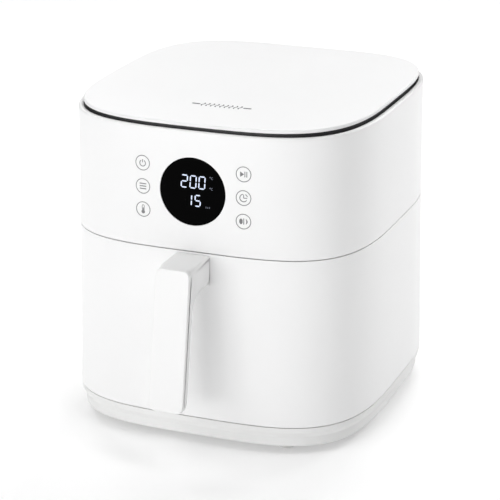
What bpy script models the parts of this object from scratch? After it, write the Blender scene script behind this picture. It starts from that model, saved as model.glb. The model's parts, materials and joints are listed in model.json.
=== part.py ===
"""A hot-air fryer with a pull-out drawer, built as the separate pieces it comes apart into.

Metres, +Z up. The fryer stands on z = 0 and its drawer faces -Y. The pieces hang on empties:
body_axis carries the housing, drawer_slide the drawer, plate_lift the crisper plate in it,
and fan_axis the shaft that turns both fans. The interlock lever's origin is its own pivot.
"""

import math

import bmesh
import bpy
import numpy as np

# The body seen from above is the outline |x/a|^n + |y/b|^n = 1 about the body's axis.
HALF_WIDTH = 0.140
HALF_DEPTH = 0.1505
FRONT_SQUARENESS = 3.76
REAR_SQUARENESS = 3.59
FLARE = 0.004             # how far the walls have leaned out by the time they reach the base seam
FLARE_POWER = 1.4
FLARE_START = 0.2905

# Heights above the surface that the fryer stands on.
BASE_UNDERSIDE = 0.007
BASE_SEAM = 0.0285
MID_SEAM = 0.1843
HEAD_TOP = 0.2930
COVER_UNDERSIDE = 0.2955
COVER_TOP = 0.3032

WALL = 0.0025             # moulded plastic
SHEET = 0.0010            # sheet metal
GAP = 0.0003              # between pieces that touch
SEAM = 0.0008             # the visible joints between the mouldings
BODY_POINTS = 56
CHAMBER_POINTS = 40
ROUND_POINTS = 20
SLOT_POINTS = 32          # a whole slot and a whole bar to each pair

# The drawer wraps round the front corners and ends this far in front of the body's axis.
DRAWER_EDGE_Y = -0.1090

# The pan, the plate and the cooking chamber share one rounded square about the fan's axis.
FAN_Y = 0.005
CHAMBER_HALF_WIDTH = 0.1165
CHAMBER_HALF_DEPTH = 0.1132
CHAMBER_SQUARENESS = 4.0
PAN_UNDERSIDE = 0.0460
PAN_RIM = 0.1780
CAVITY_HALF_WIDTH = 0.1190
CAVITY_REAR = 0.1225
CAVITY_FLOOR = 0.0335
CAVITY_TOP = 0.1862
LINER_RIM = 0.1866
LINER_ROOF = 0.2400

# The control panel.
DISPLAY_RADIUS = 0.0304
DISPLAY_Z = 0.2389
TOUCH_X = 0.0471

# The motor stack above the chamber.
SHIELD_Z = 0.2450
BRACKET_Z = 0.2600
STATOR_Z = 0.2618
STATOR_HEIGHT = 0.0170
SHAFT_RADIUS = 0.0025
SHAFT_BOTTOM = 0.2130
SHAFT_TOP = 0.2895
ROTOR_RADIUS = 0.0130

# The handle, in side view.
HANDLE_HALF_WIDTH = 0.0160
HANDLE_TOP = 0.1825
HANDLE_BOTTOM = 0.0572
HANDLE_TOP_Y = -0.1965
HANDLE_BOTTOM_Y = -0.2165
HANDLE_COVER = 0.0051
NECK_REAR_Y = -0.1525
NECK_UNDERSIDE = 0.1525
HANDLE_SCREWS_X = (-0.0085, 0.0085)
HANDLE_SCREW_Z = 0.1680

# The drawer interlock beside the cavity.
TONGUE_X = 0.1222
TONGUE_Z = 0.1010
LEVER_PIVOT_Y = -0.0950
LEVER_PIVOT_Z = 0.1180

# The rear.
VENT_HALF_WIDTH = 0.0450
VENT_BOTTOM = 0.2280
VENT_TOP = 0.2620
GLAND_X = -0.0500
GLAND_Z = 0.0620
REAR_REACH = 0.1570

FINISHES = {
    "white_shell": ((0.93, 0.93, 0.93), 0.38, 0.0),
    "base_plastic": ((0.84, 0.84, 0.84), 0.50, 0.0),
    "black_plastic": ((0.02, 0.02, 0.022), 0.45, 0.0),
    "display_acrylic": ((0.004, 0.004, 0.005), 0.06, 0.0),
    "foot_rubber": ((0.74, 0.74, 0.73), 0.80, 0.0),
    "nonstick_coat": ((0.035, 0.035, 0.038), 0.35, 0.2),
    "bumper_silicone": ((0.05, 0.05, 0.05), 0.75, 0.0),
    "zinc_steel": ((0.66, 0.67, 0.68), 0.38, 1.0),
    "heater_steel": ((0.22, 0.21, 0.20), 0.50, 1.0),
    "fan_aluminium": ((0.80, 0.81, 0.82), 0.32, 1.0),
    "motor_iron": ((0.25, 0.25, 0.27), 0.55, 1.0),
    "copper_coil": ((0.60, 0.25, 0.10), 0.40, 1.0),
    "sleeve_brass": ((0.70, 0.52, 0.22), 0.35, 1.0),
    "circuit_board": ((0.03, 0.16, 0.08), 0.50, 0.0),
}


def clear_scene():
    for item in list(bpy.data.objects):
        bpy.data.objects.remove(item, do_unlink=True)


def finish_material(name):
    """The Principled material of one entry of FINISHES, made once."""
    if name in bpy.data.materials:
        return bpy.data.materials[name]
    colour, roughness, metallic = FINISHES[name]
    material = bpy.data.materials.new(name)
    material.use_nodes = True
    shader = material.node_tree.nodes["Principled BSDF"]
    shader.inputs["Base Color"].default_value = (*colour, 1.0)
    shader.inputs["Roughness"].default_value = roughness
    shader.inputs["Metallic"].default_value = metallic
    material.diffuse_color = (*colour, 1.0)
    return material


def add_empty(name, parent=None, location=(0.0, 0.0, 0.0)):
    empty = bpy.data.objects.new(name, None)
    bpy.context.scene.collection.objects.link(empty)
    empty.parent = parent
    empty.location = location
    return empty


def add_piece(name, vertices, faces, finish, parent, location=(0.0, 0.0, 0.0)):
    """One object from points and faces, its faces turned outwards and its round parts smooth."""
    mesh = bpy.data.meshes.new(name)
    mesh.from_pydata([tuple(point) for point in vertices], [], faces)
    shape = bmesh.new()
    shape.from_mesh(mesh)
    bmesh.ops.recalc_face_normals(shape, faces=shape.faces)
    shape.to_mesh(mesh)
    shape.free()
    mesh.shade_smooth()
    mesh.set_sharp_from_angle(angle=math.radians(32))
    mesh.materials.append(finish_material(finish))
    piece = bpy.data.objects.new(name, mesh)
    bpy.context.scene.collection.objects.link(piece)
    piece.parent = parent
    piece.location = location
    return piece


def skin(name, loops, finish, parent, closed=False, location=(0.0, 0.0, 0.0)):
    """Bridges closed loops of equal length. The last loop meets the first, or both ends are capped."""
    count = len(loops[0])
    vertices = np.concatenate(loops)
    pairs = [(i, i + 1) for i in range(len(loops) - 1)]
    if closed:
        pairs.append((len(loops) - 1, 0))
    faces = []
    for lower, upper in pairs:
        for i in range(count):
            j = (i + 1) % count
            faces.append((lower * count + i, lower * count + j, upper * count + j, upper * count + i))
    if not closed:
        faces.append(tuple(reversed(range(count))))
        faces.append(tuple(range((len(loops) - 1) * count, len(loops) * count)))
    return add_piece(name, vertices, faces, finish, parent, location)


def cutter(name, loops, parent):
    """A closed solid that only cuts others."""
    tool = skin(name, loops, "zinc_steel", parent)
    tool.hide_render = True
    tool.display_type = "WIRE"
    return tool


def combine(target, tool, operation):
    step = target.modifiers.new(tool.name, "BOOLEAN")
    step.operation = operation
    step.object = tool


def flare(height):
    """How far the body's wall stands outside its outline at a height."""
    share = np.clip((FLARE_START - height) / (FLARE_START - BASE_SEAM), 0.0, 1.0)
    return FLARE * share ** FLARE_POWER


def oval_points(turns, half_width, half_depth, front_power, rear_power):
    """Points of the rounded square at the given turns, with its outward normals."""
    cosines = np.round(np.cos(turns), 12)
    sines = np.round(np.sin(turns), 12)
    power = np.where(sines < 0.0, front_power, rear_power)
    x = np.sign(cosines) * np.abs(cosines) ** (2.0 / power)
    y = np.sign(sines) * np.abs(sines) ** (2.0 / power)
    normals = np.stack([np.sign(x) * np.abs(x) ** (power - 1.0) / half_width,
                        np.sign(y) * np.abs(y) ** (power - 1.0) / half_depth], axis=1)
    normals /= np.linalg.norm(normals, axis=1, keepdims=True)
    return np.stack([x * half_width, y * half_depth], axis=1), normals


def full_turn(count):
    return np.linspace(0.0, 2.0 * math.pi, count, endpoint=False)


def at_height(points, height):
    return np.column_stack([points, np.full(len(points), height)])


def body_ring(offset, height, count=BODY_POINTS, scale=1.0):
    """The body's outline, moved out along its normals by offset and then scaled."""
    points, normals = oval_points(full_turn(count), HALF_WIDTH, HALF_DEPTH,
                                  FRONT_SQUARENESS, REAR_SQUARENESS)
    return at_height((points + offset * normals) * scale, height)


def chamber_ring(offset, height, scale=1.0, count=CHAMBER_POINTS):
    """The chamber's rounded square about the fan's axis, moved out by offset."""
    points, normals = oval_points(full_turn(count), CHAMBER_HALF_WIDTH, CHAMBER_HALF_DEPTH,
                                  CHAMBER_SQUARENESS, CHAMBER_SQUARENESS)
    return at_height((points + offset * normals) * scale + (0.0, FAN_Y), height)


def circle(radius, height, centre=(0.0, 0.0), count=ROUND_POINTS):
    turns = full_turn(count)
    points = np.stack([radius * np.cos(turns), radius * np.sin(turns)], axis=1)
    return at_height(points + centre, height)


def circle_along_y(radius, y, x, z, count=ROUND_POINTS):
    turns = full_turn(count)
    return np.stack([x + radius * np.cos(turns), np.full(count, y), z + radius * np.sin(turns)], axis=1)


def circle_along_x(radius, x, y, z, count=12):
    turns = full_turn(count)
    return np.stack([np.full(count, x), y + radius * np.cos(turns), z + radius * np.sin(turns)], axis=1)


def turned(name, profile, finish, parent, centre=(0.0, 0.0), count=ROUND_POINTS, closed=False):
    """A solid of revolution about a vertical axis: profile is (radius, height) pairs."""
    loops = [circle(radius, height, centre, count) for radius, height in profile]
    return skin(name, loops, finish, parent, closed)


def box_loops(low, high):
    corners = [(low[0], low[1]), (high[0], low[1]), (high[0], high[1]), (low[0], high[1])]
    return [at_height(np.array(corners), height) for height in (low[2], high[2])]


def block(name, low, high, finish, parent, bevel=0.0, location=(0.0, 0.0, 0.0)):
    piece = skin(name, box_loops(low, high), finish, parent, location=location)
    if bevel:
        edge = piece.modifiers.new("edge", "BEVEL")
        edge.width = bevel
        edge.segments = 1
    return piece


def rounded(corners, steps=4):
    """A closed outline from (u, v, radius) corners, with an arc at each corner that has a radius."""
    points = []
    total = len(corners)
    for i, (u, v, radius) in enumerate(corners):
        corner = np.array([u, v])
        if radius == 0.0:
            points.append(corner)
            continue
        back = np.array(corners[i - 1][:2]) - corner
        ahead = np.array(corners[(i + 1) % total][:2]) - corner
        back /= np.linalg.norm(back)
        ahead /= np.linalg.norm(ahead)
        half_angle = math.acos(float(np.clip(back @ ahead, -1.0, 1.0))) / 2.0
        bisector = (back + ahead) / np.linalg.norm(back + ahead)
        centre = corner + bisector * radius / math.sin(half_angle)
        start = corner + back * radius / math.tan(half_angle) - centre
        end = corner + ahead * radius / math.tan(half_angle) - centre
        first = math.atan2(start[1], start[0])
        sweep = math.atan2(end[1], end[0]) - first
        sweep = (sweep + math.pi) % (2.0 * math.pi) - math.pi
        for k in range(steps + 1):
            angle = first + sweep * k / steps
            points.append(centre + radius * np.array([math.cos(angle), math.sin(angle)]))
    return np.array(points)


def extruded_x(outline, start, end):
    """A (y, z) outline carried along X."""
    return [np.column_stack([np.full(len(outline), x), outline]) for x in (start, end)]


def extruded_z(outline, start, end):
    """An (x, y) outline carried along Z."""
    return [at_height(outline, height) for height in (start, end)]


def turn_at(y):
    """The turn on the body's front right corner where the outline is at y."""
    return -math.asin(abs(y / HALF_DEPTH) ** (FRONT_SQUARENESS / 2.0))


def wall_sections(first_turn, last_turn, count, bottom, top):
    """Upright sections of the body's wall between two turns of its outline."""
    turns = np.linspace(first_turn, last_turn, count)
    points, normals = oval_points(turns, HALF_WIDTH, HALF_DEPTH, FRONT_SQUARENESS, REAR_SQUARENESS)
    heights = np.linspace(bottom, top, 3)
    profile = [(flare(height), height) for height in heights]
    profile += [(flare(height) - WALL, height) for height in reversed(heights)]
    return [np.array([(*(point + offset * normal), height) for offset, height in profile])
            for point, normal in zip(points, normals)]


def slotted_plate(name, above, below, open_bands, finish, parent):
    """A plate between two lists of rings, from its centre out. Every second cell of an open band is a hole."""
    count = len(above[0])
    vertices = np.concatenate(above + below)
    under = len(above) * count
    solid = {(band, i) for band in range(len(above) - 1) for i in range(count)
             if band not in open_bands or i % 2 == 0}
    faces = []
    for band, i in sorted(solid):
        j = (i + 1) % count
        near, far = band * count, (band + 1) * count
        faces.append((near + i, far + i, far + j, near + j))
        faces.append((under + near + j, under + far + j, under + far + i, under + near + i))
        if (band, (i - 1) % count) not in solid:
            faces.append((near + i, under + near + i, under + far + i, far + i))
        if (band, j) not in solid:
            faces.append((far + j, under + far + j, under + near + j, near + j))
        if band > 0 and (band - 1, i) not in solid:
            faces.append((near + j, under + near + j, under + near + i, near + i))
        if (band + 1, i) not in solid:
            faces.append((far + i, under + far + i, under + far + j, far + j))
    faces.append(tuple(range(count)))
    faces.append(tuple(under + i for i in reversed(range(count))))
    return add_piece(name, vertices, faces, finish, parent)


# ---- Housing -------------------------------------------------------------------------------

def base_pan(body):
    """The bottom tray: an upright band under the seam, a sloping flank and a flat underside."""
    top = BASE_SEAM - SEAM / 2.0
    band = BASE_SEAM - 0.005
    outside = [(-0.0095, BASE_UNDERSIDE), (-0.0062, 0.0085), (0.0032, band), (0.0037, top)]
    inside = [(0.0012, top), (0.0007, band), (-0.0095, 0.0098)]
    loops = [body_ring(offset, height) for offset, height in outside + inside]
    pan = skin("base_pan", loops, "base_plastic", body)
    for i, (x, y) in enumerate(screw_places(), 1):
        hole = cutter(f"base_screw_hole_{i}", [circle(0.0019, height, (x, y), 12) for height in (0.0, 0.02)], body)
        combine(pan, hole, "DIFFERENCE")


def screw_places():
    return [(x, y) for y in (-0.085, 0.085) for x in (-0.100, 0.100)]


def base_screws(body):
    """Pan-head screws up through the base pan."""
    head = BASE_UNDERSIDE - GAP
    profile = [(0.0032, head - 0.0022), (0.0036, head - 0.0015), (0.0036, head), (0.0015, head), (0.0015, 0.0150)]
    for i, place in enumerate(screw_places(), 1):
        turned(f"base_screw_{i}", profile, "zinc_steel", body, place, 12)


def feet(body):
    profile = [(0.0080, 0.0), (0.0088, 0.0012), (0.0080, BASE_UNDERSIDE - GAP)]
    for i, place in enumerate([(x, y) for y in (-0.121, 0.121) for x in (-0.077, 0.077)], 1):
        turned(f"foot_{i}", profile, "foot_rubber", body, place, 16)


def lower_housing(body):
    """The U of wall behind the drawer front, with a hole for the cord gland."""
    edge = turn_at(DRAWER_EDGE_Y + SEAM / 2.0)
    sections = wall_sections(edge, math.pi - edge, 37, BASE_SEAM + SEAM / 2.0, MID_SEAM - SEAM / 2.0)
    housing = skin("lower_housing", sections, "white_shell", body)
    hole = cutter("gland_hole", [circle_along_y(0.0083, y, GLAND_X, GLAND_Z) for y in (0.14, 0.17)], body)
    combine(housing, hole, "DIFFERENCE")


def upper_housing(body):
    """The head's wall, all round, with openings for the display window and the rear vent."""
    bottom = MID_SEAM + SEAM / 2.0
    middle = 0.2370
    outside = [(flare(bottom), bottom), (flare(middle), middle), (flare(FLARE_START), FLARE_START),
               (-0.0018, HEAD_TOP)]
    inside = [(-0.0032, HEAD_TOP), (-0.0032, 0.2895), (flare(middle) - WALL, middle), (flare(bottom) - WALL, bottom)]
    loops = [body_ring(offset, height) for offset, height in outside + inside]
    housing = skin("upper_housing", loops, "white_shell", body, closed=True)
    window = [circle_along_y(DISPLAY_RADIUS + GAP, y, 0.0, DISPLAY_Z, 40) for y in (-0.17, -0.13)]
    combine(housing, cutter("display_hole", window, body), "DIFFERENCE")
    vent = box_loops((-VENT_HALF_WIDTH - GAP, 0.13, VENT_BOTTOM - GAP), (VENT_HALF_WIDTH + GAP, 0.17, VENT_TOP + GAP))
    combine(housing, cutter("vent_hole", vent, body), "DIFFERENCE")


def intake_ring(body):
    """The dark ring in the groove under the cover: a ledge, and a wall set back from it."""
    foot, ledge, top = 0.2880, 0.2922, COVER_UNDERSIDE - GAP
    profile = [(-0.0036, foot), (-0.0036, ledge), (-0.0078, ledge), (-0.0078, top), (-0.0110, top), (-0.0110, foot)]
    skin("intake_ring", [body_ring(*pair) for pair in profile], "black_plastic", body, closed=True)


def top_cover(body):
    """The lid: an upright edge with small rounds and a slightly crowned top."""
    edge = [(-0.0030, COVER_UNDERSIDE), (-0.0019, 0.2966), (-0.0019, 0.2990), (-0.0034, 0.3006)]
    outside = [body_ring(*pair) for pair in edge]
    outside += [body_ring(-0.0034, height, scale=scale) for scale, height in ((0.80, 0.3022), (0.45, COVER_TOP))]
    inside = [body_ring(-0.0056, 0.2982), body_ring(-0.0056, COVER_UNDERSIDE)]
    loops = list(reversed(outside)) + list(reversed(inside))
    skin("top_cover", loops, "white_shell", body)


def rear_vent(body):
    """The exhaust grille: a frame with upright slots."""
    slots = 14
    border = 0.0040
    slot_low, slot_high = VENT_BOTTOM + border, VENT_TOP - border
    pitch = (2.0 * (VENT_HALF_WIDTH - border) + 0.003) / slots
    panel = block("rear_vent", (-VENT_HALF_WIDTH, 0.1480, VENT_BOTTOM), (VENT_HALF_WIDTH, 0.1512, VENT_TOP),
                  "black_plastic", body)
    for i in range(slots):
        left = -VENT_HALF_WIDTH + border + i * pitch
        loops = box_loops((left, 0.14, slot_low), (left + pitch - 0.003, 0.16, slot_high))
        combine(panel, cutter(f"vent_slot_{i + 1}", loops, body), "DIFFERENCE")


def cord_gland(body):
    """The bushing in the rear wall that the lead goes through."""
    profile = [(0.0036, 0.1490), (0.0080, 0.1490), (0.0080, 0.1540), (0.0110, 0.1540),
               (0.0110, 0.1556), (0.0096, REAR_REACH), (0.0036, REAR_REACH)]
    loops = [circle_along_y(radius, y, GLAND_X, GLAND_Z) for radius, y in profile]
    skin("cord_gland", loops, "black_plastic", body, closed=True)


# ---- Cavity and chamber --------------------------------------------------------------------

def cavity_outline(half_width, front, rear, radius):
    return rounded([(-half_width, front, 0.0), (half_width, front, 0.0),
                    (half_width, rear, radius), (-half_width, rear, radius)], 6)


def cavity_shell(body):
    """The steel box that the pan slides into, open to the front and to the chamber above it."""
    front, radius = -0.1070, 0.050
    outline = cavity_outline(CAVITY_HALF_WIDTH + SHEET, front, CAVITY_REAR + SHEET, radius + SHEET)
    shell = skin("cavity_shell", extruded_z(outline, CAVITY_FLOOR - SHEET, CAVITY_TOP), "zinc_steel", body)
    flange = box_loops((-0.1258, front - SHEET, 0.0300), (0.1258, front + SHEET / 2.0, CAVITY_TOP))
    combine(shell, cutter("cavity_flange", flange, body), "UNION")
    inside = cavity_outline(CAVITY_HALF_WIDTH, front - 0.02, CAVITY_REAR, radius)
    combine(shell, cutter("cavity_inside", extruded_z(inside, CAVITY_FLOOR, 0.2), body), "DIFFERENCE")
    slot = box_loops((TONGUE_X - 0.0016, -0.12, TONGUE_Z - 0.0060), (TONGUE_X + 0.0016, -0.10, TONGUE_Z + 0.0060))
    combine(shell, cutter("tongue_slot", slot, body), "DIFFERENCE")


def rails(body):
    """The two runners under the pan's rim."""
    low, high = 0.1127, CAVITY_HALF_WIDTH - GAP
    for name, side in (("left_rail", -1.0), ("right_rail", 1.0)):
        outline = np.array([(side * low, -0.100), (side * high, -0.100), (side * high, 0.068), (side * low, 0.068)])
        skin(name, extruded_z(outline, 0.1720, 0.1762), "zinc_steel", body)


def chamber_liner(body):
    """The steel hood over the pan: a flange out to the housing, walls, a roof and the shaft's hole."""
    bore = 0.0060
    edge = -0.0032
    outside = [body_ring(edge, LINER_RIM + SHEET, CHAMBER_POINTS), chamber_ring(0.0010, LINER_RIM + SHEET),
               chamber_ring(0.0, 0.2300), chamber_ring(-0.0060, 0.2385), chamber_ring(-0.0140, LINER_ROOF + SHEET),
               circle(bore, LINER_ROOF + SHEET, (0.0, FAN_Y), CHAMBER_POINTS)]
    inside = [circle(bore, LINER_ROOF, (0.0, FAN_Y), CHAMBER_POINTS), chamber_ring(-0.0142, LINER_ROOF),
              chamber_ring(-0.0068, 0.2376), chamber_ring(-0.0010, 0.2297), chamber_ring(0.0, LINER_RIM),
              body_ring(edge, LINER_RIM, CHAMBER_POINTS)]
    skin("chamber_liner", outside + inside, "zinc_steel", body, closed=True)


def heat_shield(body):
    """The flat plate over the hood that the motor and the power board stand on."""
    low, high = SHIELD_Z, SHIELD_Z + SHEET
    loops = [chamber_ring(0.004, low), chamber_ring(0.004, high)]
    loops += [circle(0.0065, height, (0.0, FAN_Y), CHAMBER_POINTS) for height in (high, low)]
    skin("heat_shield", loops, "zinc_steel", body, closed=True)


def heater_guard(body):
    """The slotted plate that keeps food off the element."""
    top = 0.1972
    thickness = 0.0012
    scales = (0.12, 0.30, 0.36, 0.56, 0.62, 0.80, 0.86)
    above, below = [[circle(scale * 0.112, height, (0.0, FAN_Y), SLOT_POINTS) for scale in scales]
                    + [chamber_ring(-0.0020, height, count=SLOT_POINTS)] for height in (top, top - thickness)]
    slotted_plate("heater_guard", above, below, {1, 3, 5}, "zinc_steel", body)


def heating_element(body):
    """One tube bent into an outer ring, a tight U and an inner ring, with both ends turned up."""
    height, outer, inner, radius = 0.2080, 0.0920, 0.0740, 0.0032
    first, last = math.radians(8.0), math.radians(350.0)
    middle = (outer + inner) / 2.0
    half = (outer - inner) / 2.0
    path = [(outer, first, LINER_ROOF - 0.001), (outer, first, height + 0.004)]
    path += [(outer, angle, height) for angle in np.linspace(first + 0.05, last, 24)]
    for swing in np.linspace(0.0, math.pi, 6)[1:-1]:
        path.append((middle + half * math.cos(swing), last + half * math.sin(swing) / middle, height))
    path += [(inner, angle, height) for angle in np.linspace(last, first + 0.06, 20)]
    path += [(inner, first, height + 0.004), (inner, first, LINER_ROOF - 0.001)]
    curve = bpy.data.curves.new("heating_element", "CURVE")
    curve.dimensions = "3D"
    curve.bevel_depth = radius
    curve.bevel_resolution = 1
    curve.use_fill_caps = True
    spline = curve.splines.new("POLY")
    spline.points.add(len(path) - 1)
    for point, (distance, angle, level) in zip(spline.points, path):
        point.co = (distance * math.cos(angle), distance * math.sin(angle), level, 1.0)
    curve.materials.append(finish_material("heater_steel"))
    element = bpy.data.objects.new("heating_element", curve)
    bpy.context.scene.collection.objects.link(element)
    element.parent = body
    element.location = (0.0, FAN_Y, 0.0)


def heater_clips(body):
    """Two strips that hang from the hood's roof and pass under the element."""
    near, far, low, high = 0.0655, 0.1000, 0.2030, LINER_ROOF - GAP
    width = 0.0040
    outline = np.array([(near, low), (far, low), (far, high), (far - SHEET, high),
                        (far - SHEET, low + SHEET), (near + SHEET, low + SHEET), (near + SHEET, high), (near, high)])
    for i, angle in enumerate((125.0, 235.0), 1):
        along = np.array([math.cos(math.radians(angle)), math.sin(math.radians(angle))])
        across = np.array([-along[1], along[0]])
        loops = []
        for side in (-width, width):
            places = outline[:, :1] * along + side * across + (0.0, FAN_Y)
            loops.append(np.column_stack([places, outline[:, 1]]))
        skin(f"heater_clip_{i}", loops, "zinc_steel", body)


def sensors(body):
    """The over-temperature cut-out on the roof and the probe that hangs in the chamber."""
    roof = LINER_ROOF + SHEET + GAP
    turned("thermal_cutout", [(0.0080, roof), (0.0080, roof + 0.0022), (0.0055, roof + 0.0032)],
           "zinc_steel", body, (-0.070, 0.060))
    profile = [(0.0018, 0.2120), (0.0018, 0.2300), (0.0042, 0.2310), (0.0042, LINER_ROOF - GAP)]
    turned("temperature_probe", profile, "zinc_steel", body, (0.0750, FAN_Y - 0.0750), 12)


# ---- Motor and fans ------------------------------------------------------------------------

def motor(body):
    """A shaded-pole motor: laminated stator, coil round its far leg, two brackets with sleeve bearings."""
    low, high = STATOR_Z, STATOR_Z + STATOR_HEIGHT
    outline = rounded([(-0.028, FAN_Y - 0.022, 0.004), (0.028, FAN_Y - 0.022, 0.004),
                       (0.028, FAN_Y + 0.048, 0.002), (-0.028, FAN_Y + 0.048, 0.002)], 2)
    stator = skin("motor_stator", extruded_z(outline, low, high), "motor_iron", body)
    bore = [circle(ROTOR_RADIUS + 0.0006, height, (0.0, FAN_Y), 28) for height in (low - 0.01, high + 0.01)]
    combine(stator, cutter("stator_bore", bore, body), "DIFFERENCE")
    window = box_loops((-0.0170, FAN_Y + 0.0165, low - 0.01), (0.0170, FAN_Y + 0.0340, high + 0.01))
    combine(stator, cutter("coil_window", window, body), "DIFFERENCE")

    leg = rounded([(FAN_Y + 0.0337, low - GAP, 0.0), (FAN_Y + 0.0483, low - GAP, 0.0),
                   (FAN_Y + 0.0483, high + GAP, 0.0), (FAN_Y + 0.0337, high + GAP, 0.0)])
    coil = np.array([(FAN_Y + 0.0185, low - 0.0060), (FAN_Y + 0.0610, low - 0.0060),
                     (FAN_Y + 0.0610, high + 0.0075), (FAN_Y + 0.0185, high + 0.0075)])
    loops = [np.column_stack([np.full(4, x), outline_yz]) for outline_yz, x in
             ((coil, -0.0160), (coil, 0.0160), (leg, 0.0160), (leg, -0.0160))]
    skin("motor_coil", loops, "copper_coil", body, closed=True)

    reach, shoe, bridge = 0.0540, 0.0280, high + 0.0060
    lower = np.array([(-reach, SHIELD_Z + SHEET + GAP), (-reach, BRACKET_Z + 0.0015), (reach, BRACKET_Z + 0.0015),
                      (reach, SHIELD_Z + SHEET + GAP), (reach - 0.0015, SHIELD_Z + SHEET + GAP),
                      (reach - 0.0015, BRACKET_Z), (0.0015 - reach, BRACKET_Z),
                      (0.0015 - reach, SHIELD_Z + SHEET + GAP)])
    upper = np.array([(-shoe, high + GAP), (-shoe, high + GAP + 0.0015), (-0.0185, high + GAP + 0.0015),
                      (-0.0165, bridge + 0.0015), (0.0165, bridge + 0.0015), (0.0185, high + GAP + 0.0015),
                      (shoe, high + GAP + 0.0015), (shoe, high + GAP), (0.0170, high + GAP),
                      (0.0150, bridge), (-0.0150, bridge), (-0.0170, high + GAP)])
    for name, outline_xz, bearing_low in (("lower", lower, BRACKET_Z), ("upper", upper, bridge)):
        loops = [np.column_stack([outline_xz[:, 0], np.full(len(outline_xz), FAN_Y + side), outline_xz[:, 1]])
                 for side in (-0.0110, 0.0110)]
        bracket = skin(f"motor_bracket_{name}", loops, "zinc_steel", body)
        seat = [circle(0.0052, height, (0.0, FAN_Y), 20) for height in (bearing_low - 0.01, bearing_low + 0.006)]
        combine(bracket, cutter(f"bearing_seat_{name}", seat, body), "DIFFERENCE")
        ends = (bearing_low - 0.0012, bearing_low + 0.0022)
        profile = [(0.0048, ends[0]), (0.0048, ends[1]), (0.0028, ends[1]), (0.0028, ends[0])]
        turned(f"motor_bearing_{name}", profile, "sleeve_brass", body, (0.0, FAN_Y), 16, closed=True)


def fan_wheel(name, finish, parent, height, sizes):
    """A stamped wheel: a flat hub whose blades twist up at one edge and down at the other."""
    hub, tip, blades, lift, sweep = sizes
    bore = SHAFT_RADIUS + GAP
    step = 2.0 * math.pi / blades
    width = step * 0.62
    angles = np.array([k * step + part for k in range(blades) for part in (0.0, width)])
    rows = [(bore, 0.0, 0.0), (hub, 0.0, 0.0), ((hub + tip) / 2.0, 0.5, 0.8), (tip, 1.0, 1.0)]
    vertices = []
    for radius, turn, raised in rows:
        for k, angle in enumerate(angles):
            side = 1.0 if k % 2 else -1.0
            place = angle + sweep * turn
            vertices.append((radius * math.cos(place), radius * math.sin(place), height + side * raised * lift))
    count = len(angles)
    faces = [(i, count + i, count + (i + 1) % count, (i + 1) % count) for i in range(count)]
    for row in (1, 2):
        for i in range(0, count, 2):
            faces.append((row * count + i, (row + 1) * count + i, (row + 1) * count + i + 1, row * count + i + 1))
    wheel = add_piece(name, vertices, faces, finish, parent)
    wall = wheel.modifiers.new("sheet", "SOLIDIFY")
    wall.thickness = SHEET
    wall.offset = 0.0
    return wheel


def rotor(fan_axis):
    """Everything that turns with the shaft."""
    shaft = [(SHAFT_RADIUS - 0.0005, SHAFT_BOTTOM), (SHAFT_RADIUS, SHAFT_BOTTOM + 0.0005),
             (SHAFT_RADIUS, SHAFT_TOP - 0.0005), (SHAFT_RADIUS - 0.0005, SHAFT_TOP)]
    turned("motor_shaft", shaft, "zinc_steel", fan_axis, count=16)
    low, high, bore = STATOR_Z + 0.0025, STATOR_Z + STATOR_HEIGHT - 0.0015, SHAFT_RADIUS + GAP
    turned("motor_rotor", [(bore, low), (ROTOR_RADIUS, low), (ROTOR_RADIUS, high), (bore, high)],
           "motor_iron", fan_axis, count=28, closed=True)
    fan_wheel("convection_fan", "fan_aluminium", fan_axis, 0.2240, (0.0180, 0.0600, 8, 0.0060, 0.10))
    fan_wheel("cooling_fan", "fan_aluminium", fan_axis, 0.2505, (0.0150, 0.0440, 9, 0.0028, 0.08))
    low, high = 0.2170, 0.2170 + 0.0045
    loops = [circle(0.0046, low, count=6), circle(0.0046, high, count=6),
             circle(bore, high, count=6), circle(bore, low, count=6)]
    for ring in loops[2:]:
        ring[:, :2] *= 1.25
    skin("fan_nut", loops, "zinc_steel", fan_axis, closed=True)


# ---- Control panel and boards --------------------------------------------------------------

def control_panel(body):
    """The window, the light module behind it, the board and the two strips under the touch signs."""
    face = -HALF_DEPTH - flare(DISPLAY_Z)
    window = [circle_along_y(radius, y, 0.0, DISPLAY_Z, 40) for radius, y in
              ((DISPLAY_RADIUS - 0.0003, face), (DISPLAY_RADIUS, face + 0.0003), (DISPLAY_RADIUS, face + 0.0021))]
    skin("display_window", window, "display_acrylic", body)
    board = -0.1399
    block("display_module", (-0.0250, -0.1480, DISPLAY_Z - 0.0170), (0.0250, board - GAP, DISPLAY_Z + 0.0170),
          "black_plastic", body, 0.0008)
    block("control_board", (-0.0600, board, DISPLAY_Z - 0.0310), (0.0600, board + 0.0016, DISPLAY_Z + 0.0310),
          "circuit_board", body)
    for name, side in (("left_touch_strip", -1.0), ("right_touch_strip", 1.0)):
        middle = side * TOUCH_X
        block(name, (middle - 0.0070, -0.1462, DISPLAY_Z - 0.0285), (middle + 0.0070, board - GAP, DISPLAY_Z + 0.0285),
              "bumper_silicone", body)


def power_supply(body):
    """The power board on the heat shield and its two large components."""
    low = 0.2500
    top = low + 0.0016 + GAP
    block("power_board", (0.0620, -0.0550, low), (0.1100, 0.0600, low + 0.0016), "circuit_board", body)
    block("relay", (0.0680, -0.0420, top), (0.0880, -0.0260, top + 0.0155), "black_plastic", body, 0.0006)
    block("transformer", (0.0700, 0.0150, top), (0.0950, 0.0400, top + 0.0200), "motor_iron", body, 0.0006)


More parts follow.
